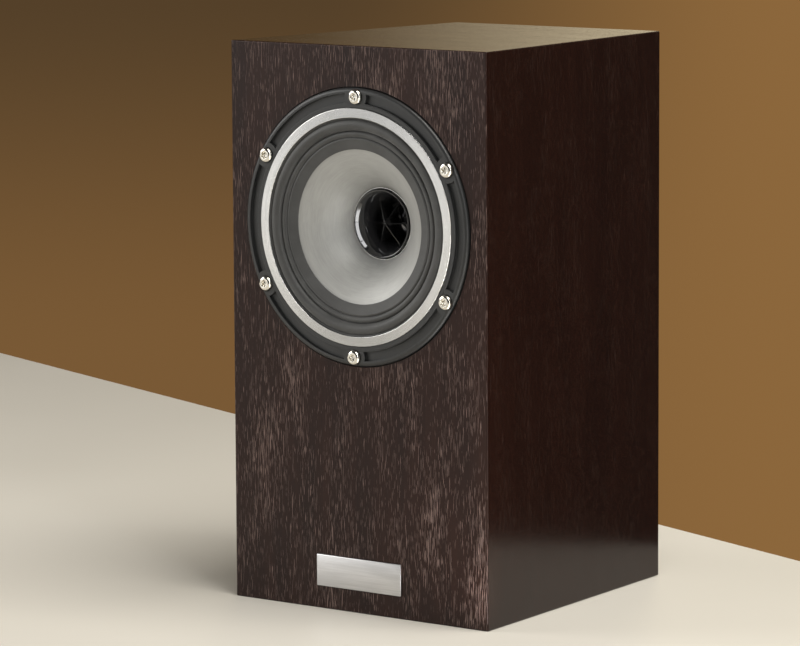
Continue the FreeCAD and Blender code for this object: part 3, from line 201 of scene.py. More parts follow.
class Recipe(Nodes):
    """One material's node tree, with its Principled shader."""

    def __init__(self, name: str, **constants: object) -> None:
        """Starts a material.

        Args:
            name: the material's name.
            constants: Principled sockets that are the same all over, with underscores for spaces.
        """
        self.material = bpy.data.materials.new(name)
        self.material.use_nodes = True
        super().__init__(self.material.node_tree)
        self.shader = self.tree.nodes["Principled BSDF"]
        for key, value in constants.items():
            self.fill(self.shader.inputs[key.replace("_", " ")], value)

    def place(self) -> bpy.types.NodeSocket:
        """The surface's position in the model's frame, in metres."""
        return self.node("ShaderNodeTexCoord", {}, {}).outputs["Object"]

    def stretched(self, scale: Tuple[float, float, float], shift: float = 0.0) -> bpy.types.NodeSocket:
        """The surface's position, scaled along each axis.

        Args:
            scale: factors along X, Y and Z.
            shift: an offset that sets one pattern apart from another.

        Returns:
            The scaled position.
        """
        settings = {"vector_type": "POINT"}
        sockets = {"Vector": self.place(), "Location": (shift, shift, shift), "Scale": scale}
        return self.node("ShaderNodeMapping", settings, sockets).outputs["Vector"]

    def noise(
        self, vector: bpy.types.NodeSocket, detail: float = 2.0, roughness: float = 0.5, warp: float = 0.0
    ) -> Value:
        """A Noise Texture's value with one feature per unit of the vector.

        Args:
            vector: where to read the noise.
            detail: its octaves.
            roughness: the strength of the finer octaves.
            warp: its distortion.

        Returns:
            The noise, from 0 to 1 about 0.5.
        """
        sockets = {"Vector": vector, "Scale": 1.0, "Detail": detail}
        sockets.update({"Roughness": roughness, "Distortion": warp})
        node = self.node("ShaderNodeTexNoise", {"noise_dimensions": "3D"}, sockets)
        return Value(self, node.outputs["Fac"])

    def polar(self, x: float, z: float) -> Tuple[Value, Value]:
        """Radius in millimetres and angle in radians about an axis along Y.

        Args:
            x: where the axis crosses X.
            z: where the axis crosses Z.

        Returns:
            The radius and the angle.
        """
        parts = self.node("ShaderNodeSeparateXYZ", {}, {"Vector": self.place()}).outputs
        across, up = Value(self, parts["X"]) - x, Value(self, parts["Z"]) - z
        radius = (across * across + up * up) ** 0.5 * (1 / MM)
        return radius, up.math_node("ARCTAN2", up, across)

    def combine(self, x: object, y: object, z: object) -> bpy.types.NodeSocket:
        """A vector from three values."""
        return self.node("ShaderNodeCombineXYZ", {}, {"X": x, "Y": y, "Z": z}).outputs["Vector"]

    def paint(self, colour: object, roughness: object) -> None:
        """Feeds the Principled shader's colour and roughness sockets."""
        self.fill(self.shader.inputs["Base Color"], colour)
        self.fill(self.shader.inputs["Roughness"], roughness)

    def emboss(self, height: Value, millimetres: float, rounding: float = 0.0) -> None:
        """Raises the surface by a height pattern and, if asked, eases its sharp edges.

        Args:
            height: the pattern, from 0 to 1.
            millimetres: the height that 1 stands for.
            rounding: the radius of the eased edges in millimetres.
        """
        sockets = {"Height": height, "Strength": 1.0, "Distance": millimetres * MM}
        if rounding:
            eased_edges = self.node("ShaderNodeBevel", {"samples": 4}, {"Radius": rounding * MM})
            sockets["Normal"] = eased_edges.outputs["Normal"]
        bump = self.node("ShaderNodeBump", {}, sockets)
        self.fill(self.shader.inputs["Normal"], bump.outputs["Normal"])


# --- Finishes --------------------------------------------------------------------------------


class Grain(Enum):
    """Which way a veneer's grain runs, as the stretch of its pattern along X, Y and Z."""

    UPRIGHT = (1.0, 1.0, 0.14)
    ACROSS = (0.14, 1.0, 1.0)


@dataclass(frozen=True)
class Veneer:
    """Dark open-pored veneer under satin lacquer, with pale dashes that are filled grain and partly a
    painted glint, set per panel by how light catches them.
    """

    name: str
    grain: Grain
    dark: Colour = (0.0105, 0.0030, 0.0017)
    light: Colour = (0.0210, 0.0066, 0.0036)
    # colour of the pale dashes: grain filler, and partly a painted glint
    pore_fill_and_glint: Colour = (0.190, 0.130, 0.112)
    pore_flecks_and_glint: float = 1.0
    gloss: float = 0.36
    sheen: float = 0.18
    streak: float = 0.10

    def make(self) -> bpy.types.Material:
        """Builds the material.

        Returns:
            The material.
        """
        r = Recipe(self.name, Specular_IOR_Level=self.sheen, Coat_Weight=0.06, Coat_Roughness=0.22)
        sx, sy, sz = self.grain.value
        band = r.noise(r.stretched((55 * sx, 55 * sy, 55 * sz)), 4.0, 0.55, 0.6)
        fibre = r.noise(r.stretched((1400 * sx * sx, 1400 * sy, 1400 * sz * sz), 3.0), 2.0)
        cluster = r.noise(r.stretched((70 * sx, 70 * sy, 70 * sz * 2), 7.0), 2.0)
        dash = r.noise(r.stretched((3600 * sx, 3600 * sy, 3600 * sz * 0.27), 11.0), 1.5, 0.45, 0.35)
        # Pale dashes: filler in the grain, and partly a painted glint.
        pore_flecks_and_glint = (dash + (cluster - 0.5) * 0.30).step(0.61, 0.67) * self.pore_flecks_and_glint
        ground = r.blend((band * 0.65 + fibre * 0.35).step(0.3, 0.72), self.dark, self.light)
        colour = r.blend(pore_flecks_and_glint, ground, self.pore_fill_and_glint)
        r.paint(colour, self.gloss + pore_flecks_and_glint * 0.16 + (fibre - 0.5) * self.streak)
        r.emboss(fibre * 0.35 + pore_flecks_and_glint, 0.09)
        return r.material


@dataclass(frozen=True)
class Painted:
    """Satin paint or powder coat with a fine orange-peel texture."""

    name: str
    colour: Colour
    gloss: float = 0.42
    grit: float = 900.0
    depth: float = 0.02
    rounding: float = 0.0
    mottle: float = 0.25

    def make(self) -> bpy.types.Material:
        """Builds the material.

        Returns:
            The material.
        """
        r = Recipe(self.name, Specular_IOR_Level=0.5)
        peel = r.noise(r.stretched((self.grit,) * 3), 2.0)
        cloud = r.noise(r.stretched((45.0,) * 3, 5.0), 3.0)
        lighter = tuple(c * (1 + self.mottle) + 0.002 for c in self.colour)
        darker = tuple(c * (1 - self.mottle) for c in self.colour)
        r.paint(r.blend(cloud.step(0.25, 0.75), darker, lighter), self.gloss + (cloud - 0.5) * 0.12)
        r.emboss(peel, self.depth, self.rounding)
        return r.material


@dataclass(frozen=True)
class Metal:
    """Bare or plated metal with fine scratches in no particular direction."""

    name: str
    colour: Colour
    gloss: float = 0.24
    wear: float = 0.12
    depth: float = 0.004

    def make(self) -> bpy.types.Material:
        """Builds the material.

        Returns:
            The material.
        """
        r = Recipe(self.name, Metallic=1.0)
        scratch = r.noise(r.stretched((2400.0, 300.0, 900.0)), 3.0, 0.6, 1.2)
        cloud = r.noise(r.stretched((160.0,) * 3, 9.0), 3.0)
        dull = tuple(c * 0.72 for c in self.colour)
        colour = r.blend(cloud.step(0.2, 0.6), dull, self.colour)
        r.paint(colour, self.gloss + (scratch - 0.5) * self.wear)
        r.emboss(scratch, self.depth)
        return r.material


@dataclass(frozen=True)
class RingBrushed:
    """Metal brushed in circles about the drive unit's axis, with painted shade that darkens it towards the
    top and bottom, standing in for how circular brushing catches light.
    """

    name: str
    x: float
    z: float
    colour: Colour = (0.86, 0.86, 0.85)
    gloss: float = 0.30
    lines: float = 9.0
    metallic: float = 1.0
    depth: float = 0.006
    # sheen: strength of the painted shade that darkens the top and bottom
    sheen: float = 0.0

    def make(self) -> bpy.types.Material:
        """Builds the material.

        Returns:
            The material.
        """
        r = Recipe(self.name, Metallic=self.metallic)
        radius, angle = r.polar(self.x, self.z)
        line = r.noise(r.combine(radius * self.lines, angle * 2.5, 0.0), 3.0, 0.65)
        smear = r.noise(r.combine(radius * 0.4, angle * 4.0, 4.0), 2.0)
        # Painted shade: the colour darkens towards the top and bottom of the ring, standing in for the
        # sheen of circular brushing.
        painted_shade_top_bottom = angle.sine() * angle.sine() * self.sheen
        shade = tuple(c * 0.80 for c in self.colour)
        deep = tuple(c * 0.30 for c in self.colour)
        brushed = r.blend((line * 0.7 + smear * 0.3).step(0.25, 0.7), shade, self.colour)
        r.paint(r.blend(painted_shade_top_bottom, brushed, deep), self.gloss + (line - 0.5) * 0.22)
        r.emboss(line, self.depth)
        return r.material


@dataclass(frozen=True)
class LineBrushed:
    """Metal plate brushed from side to side."""

    name: str
    colour: Colour = (0.62, 0.62, 0.63)
    gloss: float = 0.34

    def make(self) -> bpy.types.Material:
        """Builds the material.

        Returns:
            The material.
        """
        r = Recipe(self.name, Metallic=1.0)
        line = r.noise(r.stretched((40.0, 400.0, 6000.0)), 3.0, 0.7)
        smear = r.noise(r.stretched((30.0, 30.0, 220.0), 6.0), 2.0)
        shade = tuple(c * 0.74 for c in self.colour)
        colour = r.blend((line * 0.6 + smear * 0.4).step(0.3, 0.7), shade, self.colour)
        r.paint(colour, self.gloss + (line - 0.5) * 0.2)
        r.emboss(line, 0.004)
        return r.material


@dataclass(frozen=True)
class Rubber:
    """Matt moulded rubber with a faint bloom."""

    name: str
    colour: Colour = (0.040, 0.040, 0.039)
    gloss: float = 0.56

    def make(self) -> bpy.types.Material:
        """Builds the material.

        Returns:
            The material.
        """
        r = Recipe(self.name, Specular_IOR_Level=0.42, Sheen_Weight=0.12, Sheen_Roughness=0.5)
        skin = r.noise(r.stretched((1800.0,) * 3), 2.0)
        bloom = r.noise(r.stretched((70.0, 70.0, 110.0), 2.0), 4.0, 0.6)
        pale = tuple(c * 1.35 + 0.003 for c in self.colour)
        colour = r.blend(bloom.step(0.35, 0.75), self.colour, pale)
        r.paint(colour, self.gloss + (bloom - 0.5) * 0.16)
        r.emboss(skin, 0.012)
        return r.material


@dataclass(frozen=True)
class Moulded:
    """Moulded plastic, glossy or spark-eroded."""

    name: str
    colour: Colour
    gloss: float = 0.12
    coat: float = 0.6
    grit: float = 600.0
    depth: float = 0.004
    metallic: float = 0.0

    def make(self) -> bpy.types.Material:
        """Builds the material.

        Returns:
            The material.
        """
        r = Recipe(self.name, Coat_Weight=self.coat, Coat_Roughness=0.05, Metallic=self.metallic)
        grit = r.noise(r.stretched((self.grit,) * 3), 3.0)
        cloud = r.noise(r.stretched((60.0,) * 3, 8.0), 2.0)
        pale = tuple(c * 1.3 + 0.0015 for c in self.colour)
        colour = r.blend(cloud.step(0.3, 0.8), self.colour, pale)
        r.paint(colour, self.gloss + (cloud - 0.5) * 0.06 + (grit - 0.5) * 0.04)
        r.emboss(grit, self.depth)
        return r.material


@dataclass(frozen=True)
class Woven:
    """Coarse resin-treated cloth: threads crossing at right angles, with painted shade in the hollows
    between them.
    """

    name: str
    colour: Colour
    thread: float = 0.45
    gloss: float = 0.6

    def make(self) -> bpy.types.Material:
        """Builds the material.

        Returns:
            The material.
        """
        r = Recipe(self.name, Sheen_Weight=0.2)
        parts = r.node("ShaderNodeSeparateXYZ", {}, {"Vector": r.place()}).outputs
        turn = math.pi / (self.thread * MM)
        warp = (Value(r, parts["X"]) * turn).sine()
        weft = (Value(r, parts["Z"]) * turn).sine()
        height = warp * weft * 0.5 + 0.5
        uneven = r.noise(r.stretched((500.0,) * 3), 3.0)
        # Painted shade: darker where the weave lies low.
        deep = tuple(c * 0.55 for c in self.colour)
        r.paint(r.blend((height * 0.6 + uneven * 0.4).step(0.2, 0.8), deep, self.colour), self.gloss)
        r.emboss(height, 0.10)
        return r.material


@dataclass(frozen=True)
class Porous:
    """Foam or fibreboard: small pits all over."""

    name: str
    colour: Colour
    pit: float = 1.2
    depth: float = 0.25
    gloss: float = 0.85

    def make(self) -> bpy.types.Material:
        """Builds the material.

        Returns:
            The material.
        """
        r = Recipe(self.name, Specular_IOR_Level=0.25)
        scale = 1 / (self.pit * MM)
        cells = r.node("ShaderNodeTexVoronoi", {"feature": "F1"}, {"Vector": r.place(), "Scale": scale})
        pits = Value(r, cells.outputs["Distance"]).step(0.15, 0.75)
        uneven = r.noise(r.stretched((90.0,) * 3), 4.0)
        deep = tuple(c * 0.45 for c in self.colour)
        r.paint(r.blend((pits * 0.6 + uneven * 0.5).step(0.25, 0.85), deep, self.colour), self.gloss)
        r.emboss(1 - pits, self.depth)
        return r.material


@dataclass(frozen=True)
class Circuit:
    """Green laminate with copper tracks under its resist."""

    name: str
    ground: Colour = (0.020, 0.085, 0.040)
    track: Colour = (0.060, 0.170, 0.070)

    def make(self) -> bpy.types.Material:
        """Builds the material.

        Returns:
            The material.
        """
        r = Recipe(self.name, Coat_Weight=0.5, Coat_Roughness=0.15)
        sockets = {"Vector": r.stretched((1, 1, 0.02)), "Scale": 85.0}
        cells = r.node("ShaderNodeTexVoronoi", {"feature": "DISTANCE_TO_EDGE"}, sockets)
        tracks = Value(r, cells.outputs["Distance"]).step(0.05, 0.09)
        weave = r.noise(r.stretched((900.0, 900.0, 200.0)), 2.0)
        r.paint(r.blend(tracks, self.ground, self.track), 0.34 + (weave - 0.5) * 0.1)
        r.emboss(tracks * 0.8 + weave * 0.2, 0.05)
        return r.material


# --- Mesh building ---------------------------------------------------------------------------


def arc(start: Point2, middle: Point2, end: Point2, steps: int = 12) -> Profile:
    """Points of the arc through three points.

    Args:
        start: its first point.
        middle: a point on the way.
        end: its last point.
        steps: how many pieces it is divided into.

    Returns:
        The points after start, up to end.
    """
    a, b, c = (Vector(p) for p in (start, middle, end))
    d = 2 * (a.x * (b.y - c.y) + b.x * (c.y - a.y) + c.x * (a.y - b.y))
    squares = [p.length_squared for p in (a, b, c)]
    ux = (squares[0] * (b.y - c.y) + squares[1] * (c.y - a.y) + squares[2] * (a.y - b.y)) / d
    uy = (squares[0] * (c.x - b.x) + squares[1] * (a.x - c.x) + squares[2] * (b.x - a.x)) / d
    angles = [math.atan2(p.y - uy, p.x - ux) for p in (a, b, c)]
    way = 1 if d > 0 else -1
    sweep = (way * (angles[2] - angles[0])) % (2 * math.pi)
    radius = (a - Vector((ux, uy))).length
    turned = [angles[0] + way * sweep * (i + 1) / steps for i in range(steps)]
    return [(ux + radius * math.cos(t), uy + radius * math.sin(t)) for t in turned]


def path(start: Point2, *steps: object) -> Profile:
    """A line of straight stretches and arcs.

    Args:
        start: its first point.
        steps: the next points, or pairs (middle, end) of an arc.

    Returns:
        Its points.
    """
    points = [start]
    for step in steps:
        if isinstance(step[0], tuple):
            points += arc(points[-1], step[0], step[1])
        else:
            points.append(step)
    return points


def eased(corners: Sequence[Point2], radius: float, steps: int = 4) -> Profile:
    """A closed outline with each corner rounded.

    Args:
        corners: the outline's corners.
        radius: how far from a corner its rounding starts, at most.
        steps: how many pieces each rounding has.

    Returns:
        The rounded outline.
    """
    outline: Profile = []
    count = len(corners)
    for i, corner in enumerate(corners):
        here = Vector(corner)
        before, after = Vector(corners[i - 1]), Vector(corners[(i + 1) % count])
        reach = min(radius, 0.45 * (before - here).length, 0.45 * (after - here).length)
        start = here + (before - here).normalized() * reach
        end = here + (after - here).normalized() * reach
        for k in range(steps + 1):
            t = k / steps
            p = start * (1 - t) ** 2 + here * 2 * t * (1 - t) + end * t**2
            outline.append((p.x, p.y))
    return outline


def thickened(line: Profile, thickness: float) -> Profile:
    """A closed outline on both sides of a line.

    Args:
        line: the centre line.
        thickness: the distance between the two sides.

    Returns:
        The outline.
    """
    points = [Vector(p) for p in line]
    normals = []
    for i in range(len(points)):
        along = points[min(i + 1, len(points) - 1)] - points[max(i - 1, 0)]
        normals.append(Vector((-along.y, along.x)).normalized() * (thickness / 2))
    one = [tuple(p + n) for p, n in zip(points, normals)]
    other = [tuple(p - n) for p, n in zip(points, normals)]
    return one + other[::-1]


def ridged(inner: float, outer: float, front: float, rear: float, turns: int) -> Profile:
    """The section of a coil whose outer layer of round wire shows as ridges.

    Args:
        inner: the coil's inner radius.
        outer: its outer radius.
        front: where it begins along its axis.
        rear: where it ends.
        turns: the number of ridges.

    Returns:
        The closed profile.
    """
    wire = (rear - front) / turns / 2
    profile: Profile = [(inner, front), (inner, rear)]
    for i in range(turns, 0, -1):
        middle = front + wire * (2 * i - 1)
        for k in range(5):
            angle = math.pi * k / 4
            profile.append((outer - wire + wire * math.sin(angle), middle + wire * math.cos(angle)))
    return profile


def share_of(value: float, start: float, end: float) -> float:
    """How far a value lies on the way from start to end, from 0 to 1."""
    return min(max((value - start) / (end - start), 0.0), 1.0)


def smooth(share: float) -> float:
    """A share with a soft start and end."""
    return share * share * (3 - 2 * share)


def finish_mesh(name: str, mesh: bmesh.types.BMesh, sharp_degrees: float = 32.0) -> bpy.types.Object:
    """Turns a bmesh into a shaded object in the scene.

    Args:
        name: the object's name.
        mesh: its geometry, which is freed.
        sharp_degrees: edges that turn more than this stay sharp.

    Returns:
        The object.
    """
    bmesh.ops.remove_doubles(mesh, verts=mesh.verts, dist=1e-7)
    bmesh.ops.recalc_face_normals(mesh, faces=mesh.faces)
    data = bpy.data.meshes.new(name)
    mesh.to_mesh(data)
    mesh.free()
    data.shade_smooth()
    data.set_sharp_from_angle(angle=math.radians(sharp_degrees))
    piece = bpy.data.objects.new(name, data)
    bpy.context.scene.collection.objects.link(piece)
    return piece


@dataclass(frozen=True)
class Lathe:
    """Turns profiles of (radius, depth) in millimetres into round pieces about an axis along Y."""

    origin: Vector
    segments: int

    def rows(self, mesh: bmesh.types.BMesh, profile: Profile, wave: Optional[Wave]) -> List[Row]:
        """Makes a row of points round the axis for each point of the profile.

        Args:
            mesh: the mesh that the points join.
            profile: the outline.
            wave: the factor on a point's radius, from its place in the profile and its angle.

        Returns:
            The rows; a point on the axis gives a row of one.
        """
        rows = []
        for index, (radius, depth) in enumerate(profile):
            count = 1 if radius < 1e-6 else self.segments
            row = []
            for k in range(count):
                angle = 2 * math.pi * k / count
                r = radius * (wave(index, angle) if wave else 1.0)
                offset = Vector((r * math.cos(angle), depth, -r * math.sin(angle)))
                row.append(mesh.verts.new(self.origin + offset * MM))
            rows.append(row)
        return rows

    def skin(self, mesh: bmesh.types.BMesh, one: Row, other: Row) -> None:
        """Joins two neighbouring rows with faces.

        Args:
            mesh: the mesh that the faces join.
            one: a row of points.
            other: the row beside it.
        """
        count = max(len(one), len(other))
        if count == 1:
            return
        for k in range(count):
            n = (k + 1) % count
            corners = [one[k % len(one)], one[n % len(one)], other[n % len(other)], other[k % len(other)]]
            mesh.faces.new(list(dict.fromkeys(corners)))

    def turn(
        self,
        name: str,
        profile: Profile,
        wave: Optional[Wave] = None,
        sharp_degrees: float = 32.0,
    ) -> bpy.types.Object:
        """Turns a closed profile into a solid piece.

        Args:
            name: the piece's name.
            profile: the outline; one that starts and ends on the axis is closed by it.
            wave: the factor on a point's radius, from its place in the profile and its angle.
            sharp_degrees: edges that turn more than this stay sharp.

        Returns:
            The piece.
        """
        mesh = bmesh.new()
        rows = self.rows(mesh, profile, wave)
        for one, other in zip(rows, rows[1:] + rows[:1]):
            self.skin(mesh, one, other)
        return finish_mesh(name, mesh, sharp_degrees)


def bar(name: str, low: Vector, high: Vector, bevel: float) -> bpy.types.Object:
    """A box with rounded edges.

    Args:
        name: the piece's name.
        low: its lowest corner.
        high: its highest corner.
        bevel: the radius of its edges, in metres.

    Returns:
        The piece.
    """
    mesh = bmesh.new()
    bmesh.ops.create_cube(mesh, size=1.0)
    for vertex in mesh.verts:
        vertex.co = Vector((low[i] + high[i]) / 2 + vertex.co[i] * (high[i] - low[i]) for i in range(3))
    bmesh.ops.bevel(mesh, geom=mesh.edges[:], offset=bevel, segments=3, profile=0.5, affect="EDGES")
    return finish_mesh(name, mesh)


def joined(name: str, pieces: Sequence[bpy.types.Object]) -> bpy.types.Object:
    """Several mesh pieces as one object.

    Args:
        name: the new object's name.
        pieces: the pieces, which are used up.

    Returns:
        The object.
    """
    target = pieces[0]
    with bpy.context.temp_override(active_object=target, selected_editable_objects=list(pieces)):
        bpy.ops.object.join()
    target.name = name
    target.data.name = name
    return target


def tube(name: str, points: Sequence[Vector], radius: float, sides: int = 12) -> bpy.types.Object:
    """A round wire along a smooth curve through chosen control points.

    Args:
        name: the piece's name.
        points: the curve's control points, in metres.
        radius: the wire's radius, in metres.
        sides: the number of sides of its section.

    Returns:
        The wire as a mesh with closed ends.
    """
    curve = bpy.data.curves.new(name, "CURVE")
    curve.dimensions = "3D"
    curve.bevel_depth = radius
    curve.bevel_resolution = max(1, sides // 4)
    curve.use_fill_caps = True
    curve.resolution_u = 10
    spline = curve.splines.new("NURBS")
    spline.points.add(len(points) - 1)
    for target, point in zip(spline.points, points):
        target.co = (*point, 1.0)
    spline.order_u = 3
    spline.use_endpoint_u = True
    holder = bpy.data.objects.new(name, curve)
    data = bpy.data.meshes.new_from_object(holder)
    bpy.data.objects.remove(holder)
    mesh = bmesh.new()
    mesh.from_mesh(data)
    bpy.data.meshes.remove(data)
    return finish_mesh(name, mesh, 50.0)


def centre(node: str) -> Vector:
    """The middle of a CAD node's box."""
    low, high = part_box(node)
    return (low + high) / 2


def dress(piece: bpy.types.Object, material: bpy.types.Material) -> None:
    """Gives a piece one material, in the slots that it has.

    Args:
        piece: the piece.
        material: its finish.
    """
    if not piece.material_slots:
        piece.data.materials.append(material)
    for slot in piece.material_slots:
        slot.material = material


def add(
    piece: bpy.types.Object, body: str, slot: str, material: bpy.types.Material, *replaced: str
) -> None:
    """Dresses a new piece and ties it to the model.

    Args:
        piece: the piece.
        body: the body it moves with.
        slot: the record's material slot; not used.
        material: its finish.
        replaced: the CAD nodes that it stands for.
    """
    dress(piece, material)
    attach(piece, body)
    if replaced:
        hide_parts(*replaced)
    LOG.info("%s rides on %s and stands for %s", piece.name, body, ", ".join(replaced) or "nothing else")


def add_soft(
    piece: bpy.types.Object,
    moving: str,
    material: bpy.types.Material,
    replaced: str,
    weight: Weight,
) -> None:
    """Dresses a soft piece, hides the node it stands for and works out each point's weight towards a moving
    body; nothing applies these weights.

    Args:
        piece: the piece, in place.
        moving: the body that a part of it would follow, named only in the log.
        material: its finish.
        replaced: the CAD node that it stands for.
        weight: 0 to 1 for a point, 1 where it would follow the moving body.
    """
    dress(piece, material)
    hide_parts(replaced)
    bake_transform(piece)
    weights = np.array([weight(v.co) for v in piece.data.vertices], dtype=np.float32)
    LOG.info("%s stretches between cabinet and %s and stands for %s", piece.name, moving, replaced)


# --- Sub-assemblies --------------------------------------------------------------------------


def dress_nodes(finishes: Dict[str, bpy.types.Material]) -> None:
    """Gives each named CAD node its finish.

    Args:
        finishes: the finishes by node.
    """
    for node, material in finishes.items():
        dress(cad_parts[node], material)
        LOG.info("%s is dressed in %s", node, material.name)


@dataclass
class Cabinet:
    """The veneered box, its brace and lining, and the name plate."""

    plate_edge: float = 0.45
    foam_pitch: float = 16.0
    foam_relief: float = 3.2

    def build(self) -> None:
        """Dresses the panels and makes the plate and the lining."""
        # Copies of one veneer: the pale dashes are partly a painted glint, full on the front, weaker on the
        # top and nearly off on the sides; the sides' lighter tone is also set lower, painted shade for
        # their dimmer light.
        front = Veneer("veneer_front", Grain.UPRIGHT).make()
        side = Veneer(
            "veneer_side",
            Grain.UPRIGHT,
            dark=(0.0110, 0.0030, 0.0014),
            light=(0.0160, 0.0047, 0.0024),
            pore_flecks_and_glint=0.08,
            gloss=0.17,
            sheen=0.3,
        ).make()
        top = Veneer("veneer_top", Grain.ACROSS, pore_flecks_and_glint=0.3, gloss=0.15, sheen=0.4, streak=0.22).make()
        paint = Painted("rear_satin_paint", (0.018, 0.018, 0.019), 0.40, 1300.0, 0.018).make()
        board = Porous("bare_fibreboard", (0.30, 0.19, 0.10), 0.5, 0.04, 0.8).make()
        dress_nodes(
            {
                "front_baffle": front,
                "cabinet_left_side": side,
                "cabinet_right_side": side,
                "cabinet_top": top,
                "cabinet_bottom": top,
                "rear_panel": paint,
                "shelf_brace": board,
            }
        )
        self.name_plate()
        self.lining()

    def name_plate(self) -> None:
        """A blank brushed plate with bright bevelled edges and tight corners."""
        low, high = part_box("name_plate")
        piece = bar("blank_name_plate", low, high, self.plate_edge * MM)
        add(piece, "cabinet", "plate_metal", LineBrushed("plate_brushed").make(), "name_plate")

    def lining(self) -> None:
        """Two egg-crate foam sheets glued inside the side walls."""
        foam = Porous("lining_foam", (0.045, 0.045, 0.05), 1.6, 0.5, 0.95).make()
        low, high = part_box("foam_lining")
        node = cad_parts["foam_lining"].data
        sheets = []
        for side in (-1, 1):
            mine = [v.co for v in node.vertices if v.co.x * side > 0]
            front_out = max(abs(v.x) for v in mine if v.y < 0)
            rear_out = max(abs(v.x) for v in mine if v.y > 0)
            front_in = min(abs(v.x) for v in mine if v.y < 0)
            sheets.append(self.foam_sheet(side, low, high, front_out, rear_out, front_out - front_in))
        piece = joined("egg_crate_lining", sheets)
        add(piece, "cabinet", "lining_foam", foam, "foam_lining")

    def foam_sheet(
        self, side: int, low: Vector, high: Vector, front_out: float, rear_out: float, thick: float
    ) -> bpy.types.Object:
        """One sheet: flat on the wall and waved towards the middle.

        Args:
            side: -1 for the left wall and 1 for the right.
            low: the lining's lowest corner.
            high: its highest corner.
            front_out: the wall's distance from the middle at the sheet's front.
            rear_out: the same at its rear.
            thick: the foam's greatest thickness.

        Returns:
            The sheet.
        """
        across, up = 84, 117
        pitch = self.foam_pitch * MM
        grids: List[List[Row]] = []
        mesh = bmesh.new()
        for waved in (False, True):
            grid = []
            for i in range(across + 1):
                y = low.y + (high.y - low.y) * i / across
                wall = front_out + (rear_out - front_out) * i / across
                column = []
                for j in range(up + 1):
                    z = low.z + (high.z - low.z) * j / up
                    wave = math.sin(2 * math.pi * y / pitch) * math.sin(2 * math.pi * z / pitch)
                    proud = thick - self.foam_relief * MM * (0.5 - 0.5 * wave)
                    x = side * (wall - (proud if waved else 0.0))
                    column.append(mesh.verts.new((x, y, z)))
                grid.append(column)
            grids.append(grid)
        for grid in grids:
            for i in range(across):
                for j in range(up):
                    mesh.faces.new((grid[i][j], grid[i + 1][j], grid[i + 1][j + 1], grid[i][j + 1]))
        back, face = grids
        rim = [(i, 0) for i in range(across)] + [(across, j) for j in range(up)]
        rim += [(i, up) for i in range(across, 0, -1)] + [(0, j) for j in range(up, 0, -1)]
        for (i, j), (k, m) in zip(rim, rim[1:] + rim[:1]):
            mesh.faces.new((back[i][j], back[k][m], face[k][m], face[i][j]))
        return finish_mesh("foam_sheet", mesh, 60.0)


